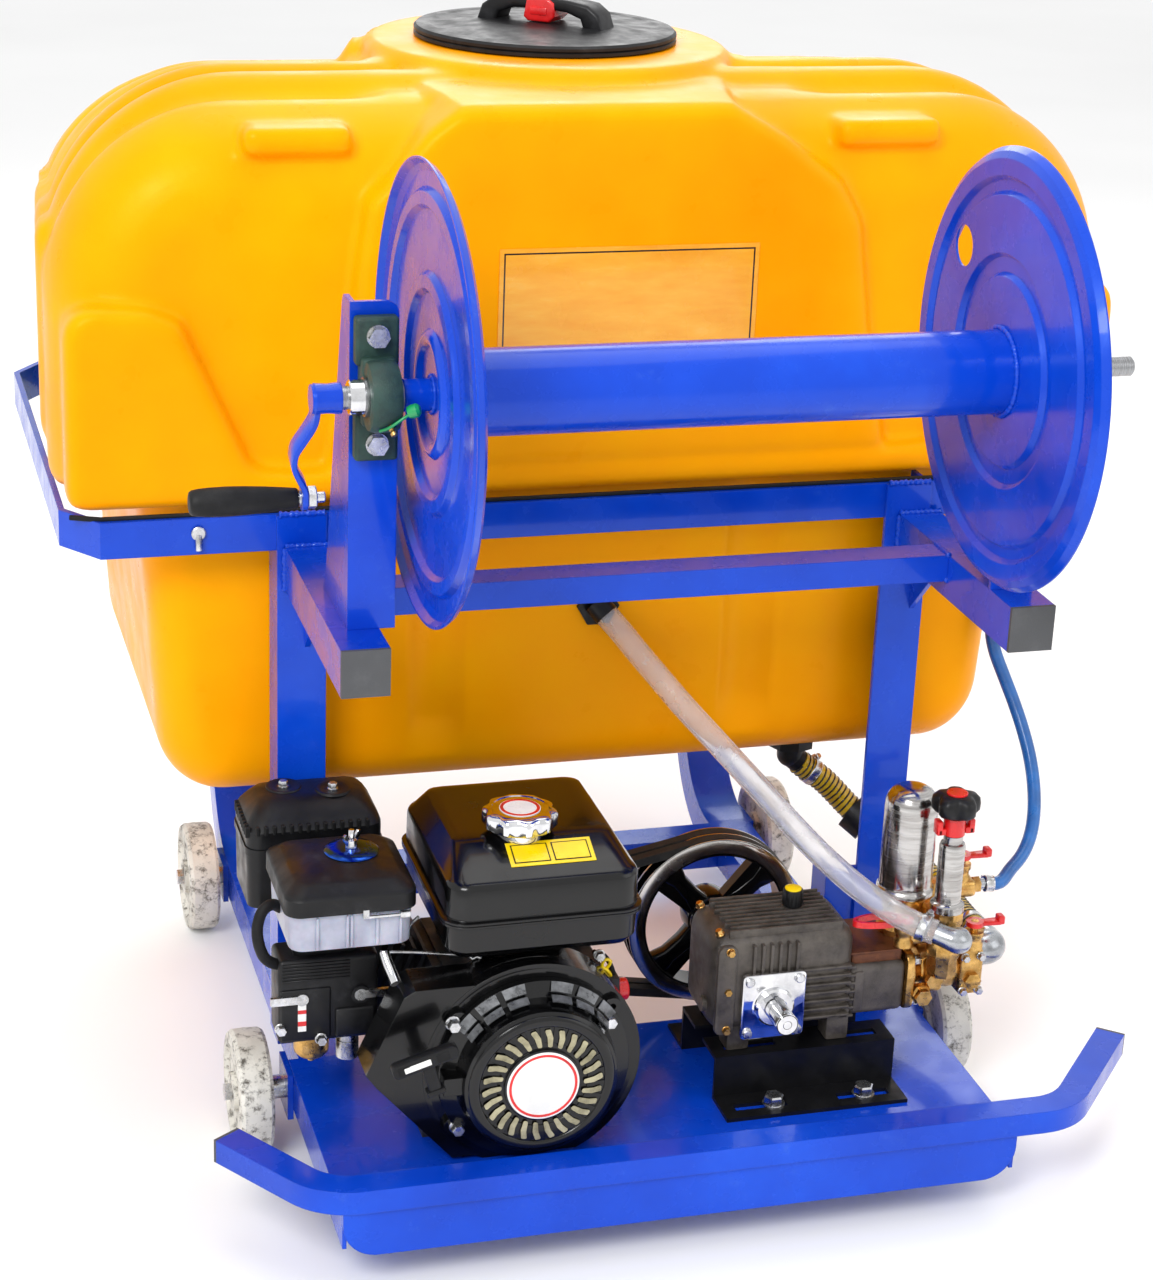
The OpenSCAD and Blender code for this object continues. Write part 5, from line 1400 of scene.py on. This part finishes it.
def handles():
    """Star knob with its red disc, and the handles of the three valves."""
    profile = ((9, 0, 0), (17, 0, 2), (21, 1.5, 4), (24.6, 5, 6.5), (25, 12, 6.5), (24, 17, 6), (20, 21, 4),
               (14, 22, 0), (0.5, 22, 0))
    knob = fluted(P(304, -196, 376), profile, 5, lambda a: (0.5 - 0.5 * math.cos(a)) ** 1.6, 100)
    knob = merged("star_knob", [knob], "black", "pressure_knob", 45)
    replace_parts(knob, "regulator_knob")
    merged("knob_disc", [lathe([(0, 0), (10.6, 0), (10.6, 1.4), (9.8, 2), (0, 2)], P(304, -196, 397.9), UP,
                               40)], "red", "pressure_knob")
    hub = collar(4.1, 9, 0, 5, P(264, -188, 258), UP, 32)
    loop = smooth_path([P(*p) for p in ((258, -182, 260.6), (246, -178.5, 260.8), (228, -179, 261),
                                        (214, -183, 261), (209.5, -188, 261), (214, -193, 261),
                                        (228, -197, 261), (246, -197.5, 260.8), (258, -194, 260.6))], 0.002)
    rows = []
    for i, centre in enumerate(loop):
        ahead = (loop[min(i + 1, len(loop) - 1)] - loop[max(i - 1, 0)]).normalized()
        side = ahead.cross(Vector(UP)).normalized()
        rows.append([centre + side * u * 1.5 * MM + Vector((0, 0, v * MM))
                     for u, v in ((-1, -2.6), (1, -2.6), (1, 3.8), (-1, 3.8))])
    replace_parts(merged("delivery_handle", [hub, loft(rows)], "red", "delivery_valve", 40), "delivery_lever")
    for name, body, node_name, (x, y, z) in (
        ("bypass_handle", "bypass_valve", "bypass_lever", (348, -127, 292)),
        ("drain_handle", "drain_valve", "drain_lever", (344, -180, 242)),
    ):
        parts = [
            collar(4.1, 9, 0, 5, P(x, y, z), UP, 32),
            prism(round_outline([(7, -5), (26, -6), (31, -4), (31, 4), (26, 6), (7, 5)], [0, 3, 3, 3, 3, 0],
                                4), 0, 4,
                  "z", 1.2, 2),
            block((24, -5.5, 0), (31, 5.5, 9), 1.6, 2),
        ]
        for part in parts[1:]:
            moved(part, P(x, y, z))
        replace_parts(merged(name, parts, "red", body, 40), node_name)


handles()


def belt_drive():
    """Polished rim and lands of the pump pulley, its spoked web, and the faces of the engine pulley."""
    centre = P(122, -22, 190)
    rim = [lathe([(77, -0.2), (79, -0.8), (91, -0.8), (93.3, 0.4), (93.3, 1.6), (91, 2), (77, 2), (77, -0.2)],
                 centre,
                 BACK, 96)]
    rim += [collar(85, 93.3, h, h + 2.2, centre, BACK, 96) for h in (14.9, 29.9)]
    merged("pulley_rim", rim, "polished", "pump_shaft", 40)
    spokes = []
    for k in range(4):
        outline = [(18, -13), (40, -9), (60, -8.5), (77, -14), (77, 14), (60, 8.5), (40, 9), (18, 13)]
        spoke = prism(outline, -19, -3, "y", 3, 3)
        moved(spoke, P(122, 0, 190), spin(-90 * k - 40, "Y"))
        spokes.append(spoke)
    hub = lathe([(12.2, -0.5), (22, -0.5), (26, 2), (28, 8), (28, 30), (26, 38.4), (12.2, 38.4)], centre,
                BACK, 48)
    merged("pulley_spokes", spokes + [hub], "gloss", "pump_shaft", 40)
    merged("engine_pulley_faces", [
        lathe([(11, -0.6), (20, -0.6), (24, 1.4), (36, 1.4), (41, -0.6), (45.2, -0.6), (45.2, 1.6),
               (11, 1.6)],
              P(-138, -22, 184), BACK, 64)], "shaft", "engine_shaft", 40)


belt_drive()

# ---------------------------------------------------------------- hose fittings

def suction_spiral():
    """The black spiral round the suction hose."""
    turns = frames_along(suction_path)
    length = 0
    helix = []
    for i, (centre, (_, side, up)) in enumerate(zip(suction_path, turns)):
        if i:
            length += (centre - suction_path[i - 1]).length
        helix.append((length, centre, side, up))
    spiral = []
    pitch = 0.0062
    for k in range(int(length / pitch * 14)):
        at = k * pitch / 14
        j = max(1, next((n for n, row in enumerate(helix) if row[0] >= at), len(helix) - 1))
        t = (at - helix[j - 1][0]) / max(helix[j][0] - helix[j - 1][0], 1e-6)
        centre = helix[j - 1][1].lerp(helix[j][1], t)
        a = 2 * math.pi * k / 14
        spiral.append(centre + 13.4 * MM * (math.cos(a) * helix[j][2] + math.sin(a) * helix[j][3]))
    from_bmesh("suction_spiral", sweep(spiral, 0.0011, 6), "spiral", "root", 80)


suction_spiral()


def clamp(name, path, at, radius, turn=0.0):
    """Worm-drive clamp round a hose, at a distance in metres along its path."""
    run = 0
    for i in range(1, len(path)):
        run += (path[i] - path[i - 1]).length
        if run >= at:
            break
    ahead = (path[min(i + 1, len(path) - 1)] - path[i - 1]).normalized()
    band = lathe([(radius + 0.4, -4.6), (radius + 1.3, -4.6), (radius + 1.6, -4), (radius + 1.3, -3.2),
                  (radius + 1.3, 3.2), (radius + 1.6, 4), (radius + 1.3, 4.6), (radius + 0.4, 4.6)], path[i],
                 tuple(ahead), 48)
    where = axis_matrix(path[i], tuple(ahead)) @ Matrix.Rotation(turn, 4, "Z")
    housing = bmesh.new()
    bmesh.ops.create_cube(housing, size=1)
    place(housing, where @ Matrix.Translation(Vector(((radius + 3.4) * MM, 0, 0)))
          @ Matrix.Diagonal((4.6 * MM, 10 * MM, 8.6 * MM, 1)))
    bmesh.ops.bevel(housing, geom=housing.edges[:], offset=0.9 * MM, segments=2, profile=0.5, affect="EDGES")
    across = where.to_3x3() @ Vector(BACK)
    screw = lathe([(0, 0), (3.4, 0), (3.4, 3.4), (2.8, 4), (0, 4)],
                  where @ Vector(((radius + 3.8) * MM, 5 * MM, 0)), tuple(across), 6)
    return merged(name, [band, housing, screw], "zinc", "root", 40)


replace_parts(clamp("suction_clamp", suction_path, 0.016, SUCTION_RADIUS, 2.2), "hose_clamps")
clamp("return_clamp", return_path, route_length(return_path) - 0.014, RETURN_RADIUS, 1.2)
clamp("bypass_clamp", bypass_path, route_length(bypass_path) - 0.008, BYPASS_RADIUS, 1.6)
clamp("elbow_clamp", suction_path, route_length(suction_path) - 0.010, SUCTION_RADIUS, -1.2)

# ---------------------------------------------------------------- frame details

def frame_details():
    """Weld beads, the band's stud and the rubber strip under the tank's waist."""
    k = 0
    for x0 in (-328, 302):
        for a, b in (((x0, -1.5, 623.5), (x0 + 44, -1.5, 623.5)), ((x0, -1.5, 579), (x0, -1.5, 622)),
                     ((x0 + 44, -1.5, 579), (x0 + 44, -1.5, 622))):
            k += 1
            bead(f"arm_weld_{k}", [P(*a), P(*b)], 3.0)
    for x, y0, y1 in ((-286, -229, -120), (318, -229, -120)):
        k += 1
        bead(f"bracket_weld_{k}", [P(x + (9 if x > 0 else -9), y0, 624),
                                   P(x + (9 if x > 0 else -9), y1, 624)], 2.6)
    for x in (-284, 302):
        for z in (597, 623):
            k += 1
            bead(f"beam_weld_{k}", [P(x, -131, z), P(x, -94, z)], 2.4)
    for x0 in (-335.5, 287.5):
        k += 1
        bead(f"post_weld_{k}", [P(x0 + 2, 1.2, 655), P(x0 + 46, 1.2, 655)], 3.0)
        bead(f"foot_weld_{k}", [P(x0 + 2, -1.2, 89), P(x0 + 46, -1.2, 89)], 3.0)
    strip = [P(x, y, 655.2) for x, y in ((-528, 24), (-500, 12.5), (0, 12.5), (500, 12.5), (528, 24))]
    merged("rubber_strip", [sweep(strip, 2.6 * MM, 10)], "rubber")
    stud = [lathe([(0, 0), (7, 0), (7, 3.6), (6, 4.4), (0, 4.4)], P(-410, 4.8, 640), FRONT, 24),
            lathe([(0, 0), (3.6, 0), (3.6, 14), (3, 15), (0, 15)], P(-410, 3, 638), (0, -0.3, -1), 16)]
    merged("band_stud", stud, "zinc")


frame_details()

# ---------------------------------------------------------------- floor and light

FLOOR_REACH = 9
SKY = 0.96
AIM = Vector((0, 0, 0.5))
LAMPS = (  # name, place in metres, width in metres, power in watts
    ("key", (-2.2, -3.0, 3.4), 1.6, 115),
    ("fill", (3.2, -2.4, 2.2), 2.6, 22),
    ("top", (0.2, 0.4, 3.6), 2.4, 25),
    ("back", (1.0, 3.2, 2.6), 2.0, 30),
)


def studio():
    """Pale floor and soft light from above and both sides."""
    floor_mesh = bpy.data.meshes.new("floor")
    floor_mesh.from_pydata([(x * FLOOR_REACH, y * FLOOR_REACH, 0) for x,
                            y in ((-1, -1), (1, -1), (1, 1), (-1, 1))], [], [(0, 1, 2, 3)])
    floor = bpy.data.objects.new("floor", floor_mesh)
    bpy.context.collection.objects.link(floor)
    look = Look("pale_floor", Roughness=0.7)
    look.colour(look.ramp(look.noise(0.6, 3), [(0.3, linear("f4f4f4")), (0.7, linear("fafafa"))]))
    floor_mesh.materials.append(look.material)
    world = bpy.data.worlds.new("world")
    world.use_nodes = True
    world.node_tree.nodes["Background"].inputs["Color"].default_value = (1, 1, 1, 1)
    world.node_tree.nodes["Background"].inputs["Strength"].default_value = SKY
    bpy.context.scene.world = world
    for name, at, size, power in LAMPS:
        data = bpy.data.lights.new(name, "AREA")
        data.size = size
        data.energy = power
        lamp = bpy.data.objects.new(name, data)
        lamp.location = at
        lamp.rotation_euler = (AIM - Vector(at)).to_track_quat("-Z", "Y").to_euler()
        bpy.context.collection.objects.link(lamp)
    bpy.context.scene.view_settings.view_transform = "Standard"


studio()
